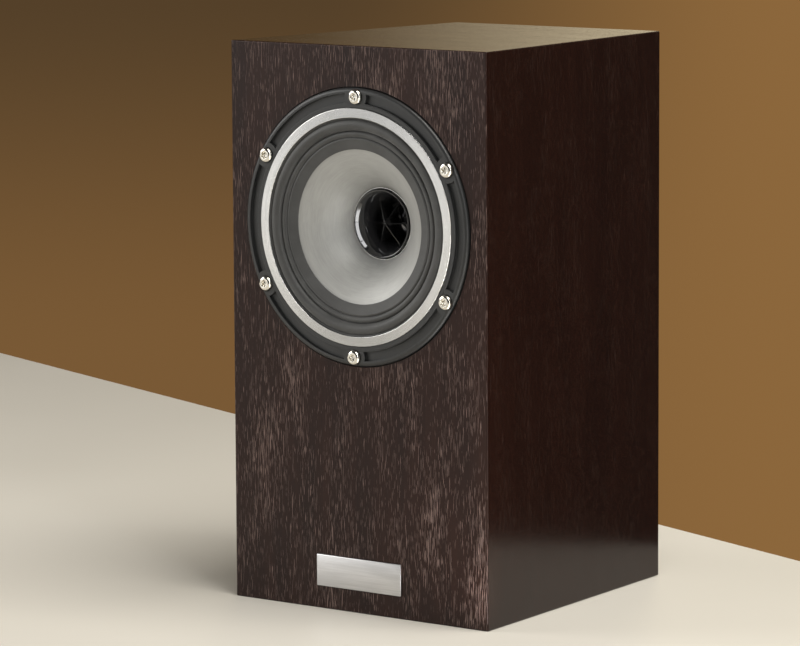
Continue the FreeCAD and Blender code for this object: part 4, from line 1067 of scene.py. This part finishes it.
@dataclass
class DriveUnit:
    """The coaxial drive unit, turned about its own axis with depth 0 on the baffle's face."""

    screws: int = 6
    screw_circle: float = 68.5
    screw_seat: float = -1.2
    first_screw_degrees: float = 89.2
    head_radius: float = 4.0
    head_height: float = 2.8
    shank_radius: float = 2.0
    screw_length: float = 18.0
    socket_turn: float = 0.35
    surround_thickness: float = 0.56
    spider_thickness: float = 0.4
    coil_inner: float = 19.12
    coil_turns: int = 22
    cone_edge: float = 40.8
    band_edge: float = 45.6
    rest_edge: float = 57.0

    def __post_init__(self) -> None:
        """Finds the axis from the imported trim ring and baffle."""
        middle = centre("trim_ring")
        self.axis = Vector((middle.x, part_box("front_baffle")[0].y, middle.z))
        self.lathe = Lathe(self.axis, segments=224)

    def radius_of(self, point: Vector) -> float:
        """A point's distance from the axis in millimetres."""
        return math.hypot(point.x - self.axis.x, point.z - self.axis.z) / MM

    def build(self) -> None:
        """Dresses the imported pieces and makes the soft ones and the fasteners."""
        x, z = self.axis.x, self.axis.z
        steel = Metal("zinc_steel", (0.55, 0.55, 0.52), 0.34).make()
        coat = Painted("chassis_coat", (0.0145, 0.015, 0.015), 0.42, 1500.0, 0.016, 0.16, 0.12).make()
        self.rubber = Rubber("surround_rubber").make()
        self.copper = Metal("coil_copper", (0.72, 0.34, 0.18), 0.3).make()
        self.cloth = Woven("spider_cloth", (0.55, 0.38, 0.14)).make()
        cone = RingBrushed("cone_satin", x, z, (0.385, 0.385, 0.37), 0.48, 3.0, 0.25, 0.003).make()
        seal = Porous("seal_foam", (0.02, 0.02, 0.02), 0.4, 0.05, 0.9).make()
        dress_nodes(
            {
                "driver_chassis": coat,
                # The trim's sheen setting paints shade on its top and bottom.
                "trim_ring": RingBrushed("trim_brushed", x, z, gloss=0.22, depth=0.010, sheen=0.62).make(),
                "cone": cone,
                "chassis_gasket": seal,
                "baffle_inserts": Metal("insert_brass", (0.78, 0.56, 0.25), 0.3).make(),
                "front_pole_plate": steel,
                "pole_yoke": steel,
                "chassis_rivets": steel,
                "magnet_ring": Painted("ferrite", (0.030, 0.030, 0.031), 0.5, 700.0, 0.03).make(),
                "coil_former": Metal("former_foil", (0.75, 0.75, 0.74), 0.22).make(),
                "tag_board": Circuit("tag_laminate").make(),
                "solder_tags": Metal("tinned_brass", (0.82, 0.80, 0.74), 0.3).make(),
            }
        )
        self.surround()
        self.spider()
        self.voice_coil()
        self.driver_screws()
        self.flex_leads()

    def surround(self) -> None:
        """The rubber roll between the chassis and the cone."""
        ring_rear, gap = -0.75, 0.015
        lip = ring_rear - gap - self.surround_thickness / 2
        line = path(
            (62.4, lip),
            (57.4, lip),
            ((56.97, -0.9), (56.72, -0.62)),
            ((56.48, -0.5), (56.25, -0.65)),
            ((53.6, -1.9), (50.95, 0.55)),
            ((50.6, 0.9), (50.2, 0.7)),
            ((48.9, -0.15), (47.5, 0.75)),
            ((47.1, 1.0), (46.7, 0.75)),
            ((46.2, 0.35), (self.band_edge, 0.55)),
            (self.cone_edge, 1.85),
        )

        def weight(point: Vector) -> float:
            """1 on the cone's band, falling smoothly to 0 at the lip."""
            return smooth(share_of(self.radius_of(point), self.rest_edge, self.band_edge))

        roll = thickened(line, self.surround_thickness)
        piece = self.lathe.turn("rubber_surround", roll, sharp_degrees=50.0)
        add_soft(piece, "bass_cone", self.rubber, "surround", weight)

    def spider(self) -> None:
        """The corrugated cloth disc that centres the coil."""
        level = (centre("spider").y - self.axis.y) / MM
        collar, first_wave, last_wave, rim = 19.13, 20.73, 34.4, 42.0
        waves, rise = 5, 1.1
        line: Profile = [(collar, level)]
        steps = waves * 10
        for i in range(steps + 1):
            share = i / steps
            radius = first_wave + (last_wave - first_wave) * share
            line.append((radius, level - rise * math.sin(math.pi * waves * share)))
        line.append((rim, level))

        def weight(point: Vector) -> float:
            """1 at the first wave, falling to 0 at the last."""
            return share_of(self.radius_of(point), last_wave, first_wave)

        piece = self.lathe.turn("woven_spider", thickened(line, self.spider_thickness), sharp_degrees=60.0)
        add_soft(piece, "bass_cone", self.cloth, "spider", weight)

    def voice_coil(self) -> None:
        """Round wire on the former, seen as ridges."""
        low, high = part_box("voice_coil")
        front, rear = (low.y - self.axis.y) / MM, (high.y - self.axis.y) / MM
        outer = (high.x - low.x) / 2 / MM
        layer = ridged(self.coil_inner, outer, front, rear, self.coil_turns)
        piece = self.lathe.turn("wound_voice_coil", layer, sharp_degrees=60.0)
        add(piece, "bass_cone", "coil_copper", self.copper, "voice_coil")

    def driver_screws(self) -> None:
        """Domed screws with deep six-lobed sockets, evenly round the flange."""
        nickel = Metal("screw_nickel", (0.80, 0.77, 0.70), 0.17, 0.10).make()
        made = []
        for k in range(self.screws):
            angle = math.radians(self.first_screw_degrees + 360 * k / self.screws)
            outward = Vector((math.cos(angle), 0, math.sin(angle))) * self.screw_circle
            seat = self.axis + (outward + Vector((0, self.screw_seat, 0))) * MM
            made.append(self.button_screw(seat, self.socket_turn * k))
        add(joined("chassis_button_screws", made), "cabinet", "screw_plate", nickel, "driver_screws")

    def button_screw(self, seat: Vector, turned: float) -> bpy.types.Object:
        """One screw along Y.

        Args:
            seat: the middle of its head's underside.
            turned: the angle at which the socket stands, in radians.

        Returns:
            The screw.
        """
        head, tall, shank = self.head_radius, self.head_height, self.shank_radius
        side = tall * 0.35
        crown = path((2.12, -tall + 0.03), (head * 0.6, -tall), ((head * 0.88, -tall * 0.8), (head, -side)))
        socket = [(0.0, -1.0), (0.95, -1.02), (1.50, -1.12), (1.64, -1.3)]
        socket += [(1.70, -tall + 0.18), (1.86, -tall + 0.05)]
        profile = socket + crown + [(head, -0.2), (head - 0.2, 0.0)]
        end = self.screw_length
        profile += [(shank + 0.15, 0.0), (shank, 0.25), (shank, end - 1.4), (shank * 0.55, end), (0.0, end)]

        def wave(index: int, angle: float) -> float:
            """Six lobes in the socket's rows."""
            return 1 + 0.15 * math.cos(6 * (angle + turned)) if 0 < index < len(socket) else 1.0

        return Lathe(seat, segments=72).turn("button_screw", profile, wave)

    def flex_leads(self) -> None:
        """The two braided leads from the tags to the coil, weighted towards it at the front."""
        braid = Metal("lead_braid", (0.74, 0.45, 0.26), 0.45, 0.3, 0.03).make()
        low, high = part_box("flex_leads")
        route = [(6.0, 25.6, -19.9), (7.0, 23.4, -27.0), (9.5, 20.6, -37.0)]
        route += [(12.2, 22.4, -47.0), (13.5, 29.0, -56.5), (13.5, 38.0, -56.5)]
        made = []
        for side in (-1, 1):
            points = [self.axis + Vector((side * a, b, c)) * MM for a, b, c in route]
            made.append(tube("flex_lead", points, 0.6 * MM))
        still, loose = low.z + 0.2 * (high.z - low.z), high.z

        def weight(point: Vector) -> float:
            """0 at the tags, rising smoothly to 1 at the coil."""
            return smooth(share_of(point.z, still, loose))

        add_soft(joined("braided_leads", made), "bass_cone", braid, "flex_leads", weight)


@dataclass
class Tweeter:
    """The horn-loaded dome in the middle of the cone."""

    unit: DriveUnit
    vanes: int = 6
    vane_root: float = 1.0
    wall_gap: float = 0.05
    vane_thickness: float = 0.9
    tip_depth: float = 23.6
    rear_depth: float = 36.0
    sweep: float = 0.35
    knee: Point2 = (16.1, 22.1)
    bend: Point2 = (12.5, 28.6)
    throat: Point2 = (10.2, 38.0)

    def build(self) -> None:
        """Makes the horn, its vanes and the dome's roll, and dresses the motor."""
        self.gloss = Moulded("horn_gloss", (0.016, 0.016, 0.017), 0.07, 1.0, 300.0, 0.001).make()
        steel = Metal("motor_steel", (0.58, 0.58, 0.55), 0.3).make()
        dress_nodes(
            {
                "tweeter_clamp_ring": Moulded("clamp_plastic", (0.015, 0.015, 0.015), 0.4, 0.1).make(),
                "tweeter_front_plate": steel,
                "tweeter_pole_disc": steel,
                "tweeter_cup": steel,
                "tweeter_magnet": Metal("magnet_nickel", (0.66, 0.64, 0.60), 0.22).make(),
                "tweeter_dome": Metal("dome_anodised", (0.20, 0.20, 0.21), 0.26, 0.06, 0.001).make(),
                "tweeter_voice_coil": self.unit.copper,
            }
        )
        self.horn()
        self.phase_plug()
        self.dome_roll()

    def wall(self, depth: float) -> float:
        """The horn's inner radius.

        Args:
            depth: how far behind the baffle's face, in millimetres.

        Returns:
            The radius in millimetres.
        """
        line = path(self.knee, (self.bend, self.throat))
        depths = [p[1] for p in line]
        return float(np.interp(depth, depths, [p[0] for p in line]))

    def horn(self) -> None:
        """The glossy bowl with its stepped lip, standing on the pole."""
        mouth = (17.3, 20.75)
        profile = path(
            mouth,
            (17.22, 20.84),
            (16.18, 22.01),
            self.knee,
            (self.bend, self.throat),
            (18.3, 38.0),
            (18.3, 35.5),
            (13.4, 35.5),
            ((14.0, 29.0), (18.1, 21.4)),
            ((18.06, 20.75), (17.85, 20.48)),
            ((17.72, 20.42), (17.6, 20.5)),
            ((17.42, 20.58), mouth),
        )
        piece = self.unit.lathe.turn("gloss_horn", profile[:-1], sharp_degrees=40.0)
        add(piece, "cabinet", "horn_gloss", self.gloss, "tweeter_horn")

    def phase_plug(self) -> None:
        """A pointed hub with swept vanes that stand on the horn's wall."""
        hub = [(0.0, self.tip_depth - 0.6)]
        hub += arc(hub[0], (2.08, self.tip_depth + 3.2), (2.6, self.tip_depth + 8.0), 10)
        hub += [(2.08, self.rear_depth), (0.0, self.rear_depth)]
        pieces = [Lathe(self.unit.axis, segments=48).turn("hub", hub)]
        for k in range(self.vanes):
            pieces.append(self.vane(2 * math.pi * k / self.vanes))
        add(joined("phase_plug_vanes", pieces), "cabinet", "horn_gloss", self.gloss, "phase_plug")

    def vane(self, angle: float) -> bpy.types.Object:
        """One vane with a rounded leading edge.

        The edge slopes, so its depth and the wall's radius there are found together, step by step.

        Args:
            angle: where it stands round the axis, in radians.

        Returns:
            The vane.
        """
        outward = Vector((math.cos(angle), 0, math.sin(angle)))
        aside = Vector((-math.sin(angle), 0, math.cos(angle)))
        along = Vector((0, 1, 0))
        lengthwise, chordwise = 14, [0.0, 0.04, 0.12, 0.3, 0.65, 1.0]
        mesh = bmesh.new()
        loops = []
        for i in range(lengthwise + 1):
            share = i / lengthwise
            radius = self.vane_root
            for _ in range(8):
                front = self.tip_depth + self.sweep * radius
                widest = self.wall(front) - self.wall_gap
                radius = self.vane_root + (widest - self.vane_root) * share
            front = self.tip_depth + self.sweep * radius
            loop = []
            for sign in (1, -1):
                order = chordwise if sign > 0 else chordwise[::-1]
                for c in order:
                    depth = front + (self.rear_depth - front) * c
                    reach = min(radius, self.wall(depth) - self.wall_gap)
                    half = self.vane_thickness / 2 * min(1.0, 0.28 + math.sqrt(c) * 1.4)
                    place = outward * reach + along * depth + aside * (sign * half)
                    loop.append(mesh.verts.new(self.unit.axis + place * MM))
            loops.append(loop)
        for one, other in zip(loops, loops[1:]):
            for k in range(len(one)):
                n = (k + 1) % len(one)
                mesh.faces.new((one[k], one[n], other[n], other[k]))
        mesh.faces.new(loops[0])
        mesh.faces.new(loops[-1])
        return finish_mesh("vane", mesh, 40.0)

    def dome_roll(self) -> None:
        """The dome's half roll, between the clamp and the dome."""
        level, inner, outer, rim = 41.45, 9.53, 11.6, 13.4
        front, rear = level - 0.2, level + 0.2
        start, end = inner + 0.5, outer - 0.1
        crest = (start + outer) / 2
        profile = path(
            (inner, front),
            (start, front),
            ((crest, level - 1.0), (end, front)),
            (rim, front),
            (rim, rear),
            (end, rear),
            ((crest, level - 0.6), (start, rear)),
            (inner, rear),
        )

        def weight(point: Vector) -> float:
            """1 on the dome, falling to 0 at the clamp."""
            return share_of(self.unit.radius_of(point), outer, inner + 0.4)

        piece = Lathe(self.unit.axis, segments=96).turn("dome_roll", profile, sharp_degrees=50.0)
        add_soft(piece, "treble_dome", self.unit.rubber, "tweeter_surround", weight)


class Polarity(Enum):
    """The two polarities of a post, with the slot and the colour of its cap and ring."""

    MINUS = ("cap_black", (0.010, 0.010, 0.011))
    PLUS = ("cap_red", (0.42, 0.012, 0.010))


@dataclass
class Terminals:
    """The terminal plate and its four screw-down posts."""

    flutes: int = 24
    cap_radius: float = 7.4
    bore: float = 3.06
    screw_radius: float = 3.4
    bands: Tuple[str, ...] = ("treble", "bass")

    def build(self) -> None:
        """Dresses the plate and makes the caps, marker rings and screws."""
        self.gold = Metal("post_gold", (0.90, 0.66, 0.28), 0.2, 0.08).make()
        plate = Moulded("terminal_plastic", (0.012, 0.012, 0.013), 0.42, 0.15, 1500.0, 0.02).make()
        finishes = {
            "terminal_plate": plate,
            "post_collars": plate,
            "post_shanks": self.gold,
            "post_links": self.gold,
            "post_nuts": self.gold,
            "terminal_seal": Porous("terminal_seal_foam", (0.02, 0.02, 0.02), 0.4, 0.05, 0.9).make(),
        }
        for polarity in Polarity:
            slot, colour = polarity.value
            sign = polarity.name.lower()
            tint = Moulded(f"cap_{sign}", colour, 0.10, 1.0, 400.0, 0.002).make()
            for band in self.bands:
                post = f"{band}_{sign}"
                finishes[f"{post}_washer"] = self.gold
                self.cap(post, slot, tint)
                self.marker(post, slot, tint)
        dress_nodes(finishes)
        self.screws()

    def cap(self, post: str, slot: str, tint: bpy.types.Material) -> None:
        """A fluted grip with a plated sleeve that shows at both ends.

        Args:
            post: the post's name.
            slot: the record's material slot for the cap.
            tint: the grip's finish.
        """
        low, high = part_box(f"{post}_cap")
        middle = (low + high) / 2
        axis = Vector((middle.x, low.y, middle.z))
        length = (high.y - low.y) / MM
        r = self.cap_radius
        grip = [(4.4, 0.5), (r - 0.9, 0.5), (r - 0.4, 0.62), (r - 0.1, 1.0), (r, 1.5)]
        grip += [(r, length - 2.6), (r - 0.12, length - 1.9), (r - 0.5, length - 1.3)]
        grip += [(r - 1.2, length - 0.9), (5.2, length - 0.75), (4.9, length - 0.85), (4.4, length - 0.95)]
        fluted_rows = range(4, 8)

        def wave(index: int, angle: float) -> float:
            """Flutes in the rows between the grip's two rounded ends."""
            cut = 0.075 * max(0.0, math.cos(self.flutes * angle)) ** 1.5
            return 1 - cut if index in fluted_rows else 1.0

        piece = Lathe(axis, segments=self.flutes * 10).turn(f"{post}_grip", grip, wave, 40.0)
        add(piece, f"{post}_knob", slot, tint, f"{post}_cap")
        sleeve = [(self.bore, 0.05), (self.bore + 0.1, 0.0), (5.3, 0.0), (5.4, 0.1)]
        sleeve += [(5.4, 0.46), (4.38, 0.46), (4.38, length - 0.5), (4.9, length - 0.5)]
        sleeve += [(5.0, length - 0.4), (4.95, length - 0.05)]
        sleeve += [(4.85, length), (self.bore + 0.25, length), (self.bore, length - 0.25)]
        ring = Lathe(axis, segments=72).turn(f"{post}_sleeve", sleeve)
        add(ring, f"{post}_knob", slot, self.gold)

    def marker(self, post: str, slot: str, tint: bpy.types.Material) -> None:
        """A coloured ring pressed on the collar, which tells the polarity.

        Args:
            post: the post's name.
            slot: the record's material slot for the ring.
            tint: its finish.
        """
        middle = centre(f"{post}_cap")
        collar_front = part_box("post_collars")[0].y
        axis = Vector((middle.x, collar_front, middle.z))
        outline = eased([(7.62, 0.9), (8.1, 0.9), (8.1, 2.1), (7.62, 2.1)], 0.2, 3)
        piece = Lathe(axis, segments=96).turn(f"{post}_marker_ring", outline)
        add(piece, "cabinet", slot, tint)

    def screws(self) -> None:
        """Four black screws with cross recesses at the plate's corners."""
        black = Metal("black_zinc", (0.035, 0.035, 0.037), 0.35).make()
        low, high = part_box("terminal_screws")
        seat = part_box("terminal_plate")[1].y
        inset = self.screw_radius * MM
        made = []
        for x in (low.x + inset, high.x - inset):
            for z in (low.z + inset, high.z - inset):
                made.append(self.cross_screw(Vector((x, seat, z))))
        add(joined("terminal_cross_screws", made), "cabinet", "black_screw", black, "terminal_screws")

    def cross_screw(self, seat: Vector) -> bpy.types.Object:
        """One pan-head screw that enters towards the front.

        Args:
            seat: the middle of its head's underside.

        Returns:
            The screw.
        """
        radius = self.screw_radius
        profile = [(0.0, 0.6), (0.9, 0.75), (1.75, 1.98)]
        profile += arc((1.95, 2.0), (radius * 0.82, 1.55), (radius, 0.5), 6)
        profile += [(radius, 0.1), (radius - 0.12, 0.0)]
        profile += [(1.75, 0.0), (1.75, -10.4), (0.6, -13.5), (0.0, -14.0)]
        recess_rows = (1, 2)

        def wave(index: int, angle: float) -> float:
            """Four arms in the recess's rows."""
            return 0.45 + 0.55 * abs(math.cos(2 * angle)) ** 6 if index in recess_rows else 1.0

        return Lathe(seat, segments=64).turn("cross_screw", profile, wave)


@dataclass
class Port:
    """The reflex port in the rear panel."""

    def build(self) -> None:
        """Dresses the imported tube."""
        plastic = Moulded("port_plastic", (0.014, 0.014, 0.014), 0.38, 0.1, 1600.0, 0.02).make()
        dress_nodes({"port_tube": plastic})


@dataclass(frozen=True)
class Coil:
    """One inductor that stands on the board: its place and size in millimetres."""

    x: float
    y: float
    radius: float
    height: float
    core: float
    turns: int


@dataclass(frozen=True)
class Capacitor:
    """One film capacitor that lies across the board: its place and size in millimetres."""

    x: float
    y: float
    radius: float
    length: float


@dataclass
class Crossover:
    """The filter board on the cabinet's floor and the wiring."""

    coils: Tuple[Coil, ...] = (
        Coil(-26.0, -14.0, 19.0, 22.0, 8.0, 18),
        Coil(27.0, -20.0, 13.0, 16.0, 5.0, 15),
    )
    capacitors: Tuple[Capacitor, ...] = (
        Capacitor(-22.0, 22.0, 8.0, 34.0),
        Capacitor(20.0, 24.0, 6.5, 28.0),
        Capacitor(20.0, 8.0, 5.5, 26.0),
    )
    flange: float = 1.5
    lead_radius: float = 0.4

    def build(self) -> None:
        """Dresses the board and its wires, and makes the wound and moulded components."""
        self.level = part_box("crossover_board")[1].z
        tinned = Metal("lead_tinned", (0.80, 0.79, 0.75), 0.3).make()
        dress_nodes(
            {
                "crossover_board": Circuit("board_laminate").make(),
                "board_fixings": Metal("fixing_zinc", (0.5, 0.5, 0.48), 0.3).make(),
                "inductor_bobbins": Moulded("bobbin_nylon", (0.35, 0.33, 0.28), 0.35, 0.2).make(),
                "terminal_wires": Rubber("wire_dark", (0.03, 0.03, 0.032), 0.45).make(),
                "driver_wires": Rubber("wire_red", (0.35, 0.03, 0.025), 0.45).make(),
                "crossover_resistors": Porous("resistor_cement", (0.75, 0.73, 0.68), 0.3, 0.02, 0.7).make(),
            }
        )
        copper = Metal("winding_copper", (0.72, 0.34, 0.18), 0.28).make()
        windings = joined("wound_inductors", [self.winding(c) for c in self.coils])
        add(windings, "cabinet", "coil_copper", copper, "inductor_windings")
        film = Moulded("capacitor_film", (0.55, 0.38, 0.05), 0.18, 0.8).make()
        bodies = joined("film_capacitors", [self.capacitor(c) for c in self.capacitors])
        add(bodies, "cabinet", "capacitor_film", film, "crossover_capacitors")
        leads = joined("capacitor_leads", [lead for c in self.capacitors for lead in self.leads(c)])
        add(leads, "cabinet", "tag_metal", tinned)

    def winding(self, coil: Coil) -> bpy.types.Object:
        """One coil's wire, ridge by ridge, about an upright axis.

        Args:
            coil: the inductor.

        Returns:
            The wire.
        """
        low, high = self.flange + 0.05, coil.height - self.flange - 0.05
        profile = ridged(coil.core + 0.03, coil.radius - 1.0, low, high, coil.turns)
        piece = Lathe(Vector(), segments=96).turn("winding", profile, sharp_degrees=60.0)
        place = Vector((coil.x * MM, coil.y * MM, self.level))
        piece.data.transform(Matrix.Translation(place) @ Matrix.Rotation(math.pi / 2, 4, "X"))
        return piece

    def capacitor(self, part: Capacitor) -> bpy.types.Object:
        """One wrapped body with the wrap shrunk over its resin-filled ends.

        Args:
            part: the capacitor.

        Returns:
            The body.
        """
        r, end = part.radius, -part.length / 2
        profile = [(0.0, end + 0.9), (r - 2.3, end + 0.8), (r - 1.9, end + 0.15), (r - 1.1, end)]
        profile += [(r - 0.3, end + 0.5), (r - 0.02, end + 1.4), (r - 0.10, end + 2.2), (r, end + 3.4)]
        profile += [(radius, -depth) for radius, depth in reversed(profile)]
        piece = Lathe(Vector(), segments=64).turn("capacitor", profile, sharp_degrees=50.0)
        place = Vector((part.x * MM, part.y * MM, self.level + r * MM))
        piece.data.transform(Matrix.Translation(place) @ Matrix.Rotation(math.pi / 2, 4, "Z"))
        return piece

    def leads(self, part: Capacitor) -> List[bpy.types.Object]:
        """The two bent leads that drop from a capacitor's ends into the board.

        Args:
            part: the capacitor.

        Returns:
            The leads.
        """
        made = []
        height = part.radius * MM
        for side in (-1, 1):
            x = part.x + side * (part.length / 2 - 1.0)
            start = Vector((x * MM, part.y * MM, self.level + height))
            out = Vector((side * 2.6 * MM, 0, 0))
            down = Vector((0, 0, -height - 0.2 * MM))
            corner = start + out
            route = [start, start + out * 0.8, corner, corner + down * 0.3, corner + down]
            made.append(tube("lead", route, self.lead_radius * MM, 8))
        return made


@dataclass
class Studio:
    """A pale table top, a plain dim surround, soft lights and the camera."""

    azimuth: float = 37.19
    elevation: float = 7.58
    roll: float = -0.30
    distance: float = 2.327
    aside: float = 0.0221
    above: float = 0.0047
    focal: float = 199.9
    table_edge: float = 0.216
    table_turn: float = -21.5
    table_size: Tuple[float, float, float] = (3.2, 1.9, 0.03)
    card_azimuth: float = 58.0
    ambient: Colour = (0.045, 0.044, 0.043)

    def build(self) -> None:
        """Makes the camera, the table, the world and the lights."""
        self.camera()
        self.table()
        self.world()
        self.lights()
        view = bpy.context.scene.view_settings
        view.view_transform = "Standard"
        view.look = "None"

    def camera(self) -> None:
        """A long lens that looks at the baffle's middle from the right and slightly above."""
        a, e, roll = (math.radians(v) for v in (self.azimuth, self.elevation, self.roll))
        back = Vector((math.sin(a) * math.cos(e), -math.cos(a) * math.cos(e), math.sin(e)))
        right = Vector((math.cos(a), math.sin(a), 0))
        up = back.cross(right)
        c, s = math.cos(roll), math.sin(roll)
        right, up = right * c + up * s, up * c - right * s
        low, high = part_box("cabinet_left_side")
        target = Vector((0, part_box("front_baffle")[0].y, (low.z + high.z) / 2))
        data = bpy.data.cameras.new("camera")
        data.lens = self.focal
        data.sensor_width = 36.0
        data.clip_start, data.clip_end = 0.05, 60.0
        camera = bpy.data.objects.new("camera", data)
        bpy.context.scene.collection.objects.link(camera)
        place = target + right * self.aside + up * self.above + back * self.distance
        matrix = Matrix((right, up, back)).transposed().to_4x4()
        matrix.translation = place
        camera.matrix_world = matrix
        bpy.context.scene.camera = camera

    def table(self) -> None:
        """A pale table top whose rear edge passes behind the cabinet."""
        wide, deep, thick = self.table_size
        top = bar("table_top", Vector((-wide / 2, -deep, -thick)), Vector((wide / 2, 0, 0)), 0.002)
        matrix = Matrix.Rotation(math.radians(self.table_turn), 4, "Z")
        matrix.translation = Vector((0, self.table_edge, 0))
        top.matrix_world = matrix
        r = Recipe("table_laminate", Specular_IOR_Level=0.4)
        cloud = r.noise(r.stretched((3.0,) * 3), 2.0)
        r.paint(r.blend(cloud, (0.60, 0.57, 0.51), (0.66, 0.63, 0.57)), 0.5 + (cloud - 0.5) * 0.1)
        dress(top, r.material)

    def world(self) -> None:
        """A dark warm surround, golden above the horizon behind the object."""
        world = bpy.data.worlds.new("surround_world")
        bpy.context.scene.world = world
        world.use_nodes = True
        sky = Nodes(world.node_tree)
        ray = sky.node("ShaderNodeTexCoord", {}, {}).outputs["Generated"]
        a = math.radians(self.azimuth)
        right = Vector((math.cos(a), math.sin(a), 0))
        ahead = Vector((-math.sin(a), math.cos(a), 0))
        up = Vector((0, 0, 1))

        def along(direction: Vector, low: float, high: float) -> Value:
            """A smooth step of how far a ray points along a direction."""
            dot = sky.node("ShaderNodeVectorMath", {"operation": "DOT_PRODUCT"}, {0: ray, 1: direction})
            return Value(sky, dot.outputs["Value"]).step(low, high)

        left_glow = sky.blend(along(up, -0.14, -0.05), (0.19, 0.100, 0.036), (0.085, 0.050, 0.022))
        low_glow = sky.blend(along(right, -0.02, 0.09), left_glow, (0.26, 0.135, 0.045))
        high_glow = sky.blend(along(right, -0.03, 0.10), (0.11, 0.070, 0.028), (1.10, 0.94, 0.63))
        behind = sky.blend(along(up, -0.02, 0.05), low_glow, high_glow)
        above = sky.blend(along(up, 0.25, 0.5), behind, self.ambient)
        background = sky.tree.nodes["Background"]
        sky.fill(background.inputs["Color"], sky.blend(along(ahead, 0.55, 0.85), self.ambient, above))
        sky.fill(background.inputs["Strength"], 1.0)

    def lights(self) -> None:
        """A key from the left, a low panel, a top light, and tall strips with two cards on the table."""
        self.area("key", (-2.1, -1.25, 1.15), (1.3, 1.3), 34.0, (1.0, 0.985, 0.96))
        self.area("panel", (-1.3, -1.7, 0.38), (2.2, 0.7), 6.5, (1.0, 0.99, 0.97))
        self.area("overhead", (0.75, -0.05, 1.9), (1.2, 1.2), 47.0, (1.0, 0.965, 0.90))
        self.area("strip", (1.33, -0.93, 0.90), (0.20, 1.90), 8.4, (1.0, 1.0, 1.0), roll=9.0)
        self.area("strip_top", (0.67, -0.89, 1.78), (0.20, 0.60), 2.6, (1.0, 1.0, 1.0), roll=35.0)
        self.card("far_card", 1.30, (0.10, 1.60), 3.2)
        self.card("near_card", 0.30, (0.04, 0.42), 0.36)

    def lamp(self, name: str, size: Tuple[float, float], watts: float, tint: Colour) -> bpy.types.Object:
        """A soft box that the camera doesn't see.

        Args:
            name: its name.
            size: its width and height.
            watts: its power.
            tint: its colour.

        Returns:
            The light, unplaced.
        """
        data = bpy.data.lights.new(name, "AREA")
        data.shape = "RECTANGLE"
        data.size, data.size_y = size
        data.energy = watts
        data.color = tint
        light = bpy.data.objects.new(name, data)
        light.visible_camera = False
        light.rotation_mode = "QUATERNION"
        bpy.context.scene.collection.objects.link(light)
        return light

    def area(
        self,
        name: str,
        place: Tuple[float, float, float],
        size: Tuple[float, float],
        watts: float,
        tint: Colour,
        roll: float = 0.0,
    ) -> None:
        """One soft box aimed at the speaker.

        Args:
            name: its name.
            place: where it stands, in metres.
            size: its width and height.
            watts: its power.
            tint: its colour.
            roll: its turn about its own axis, in degrees.
        """
        light = self.lamp(name, size, watts, tint)
        light.location = place
        aim = Vector((0, 0, 0.16)) - Vector(place)
        turn = Quaternion((0, 0, 1), math.radians(roll))
        light.rotation_quaternion = aim.to_track_quat("-Z", "Y") @ turn

    def card(self, name: str, reach: float, size: Tuple[float, float], watts: float) -> None:
        """A narrow light that lies on the table and shines up into the horn.

        Args:
            name: its name.
            reach: how far in front of the horn its middle lies.
            size: its width and length.
            watts: its power.
        """
        light = self.lamp(name, size, watts, (1.0, 1.0, 1.0))
        a = math.radians(self.card_azimuth)
        middle = centre("tweeter_horn")
        light.location = Vector((middle.x + reach * math.sin(a), middle.y - reach * math.cos(a), 0.003))
        flip = Quaternion((1, 0, 0), math.pi)
        light.rotation_quaternion = Quaternion((0, 0, 1), a) @ flip


def main() -> None:
    """Builds the studio and each sub-assembly in turn."""
    logging.basicConfig(level=logging.INFO, format="%(name)s: %(message)s")
    Studio().build()
    Cabinet().build()
    unit = DriveUnit()
    unit.build()
    Tweeter(unit).build()
    Port().build()
    Terminals().build()
    Crossover().build()


if __name__ == "__main__":
    main()
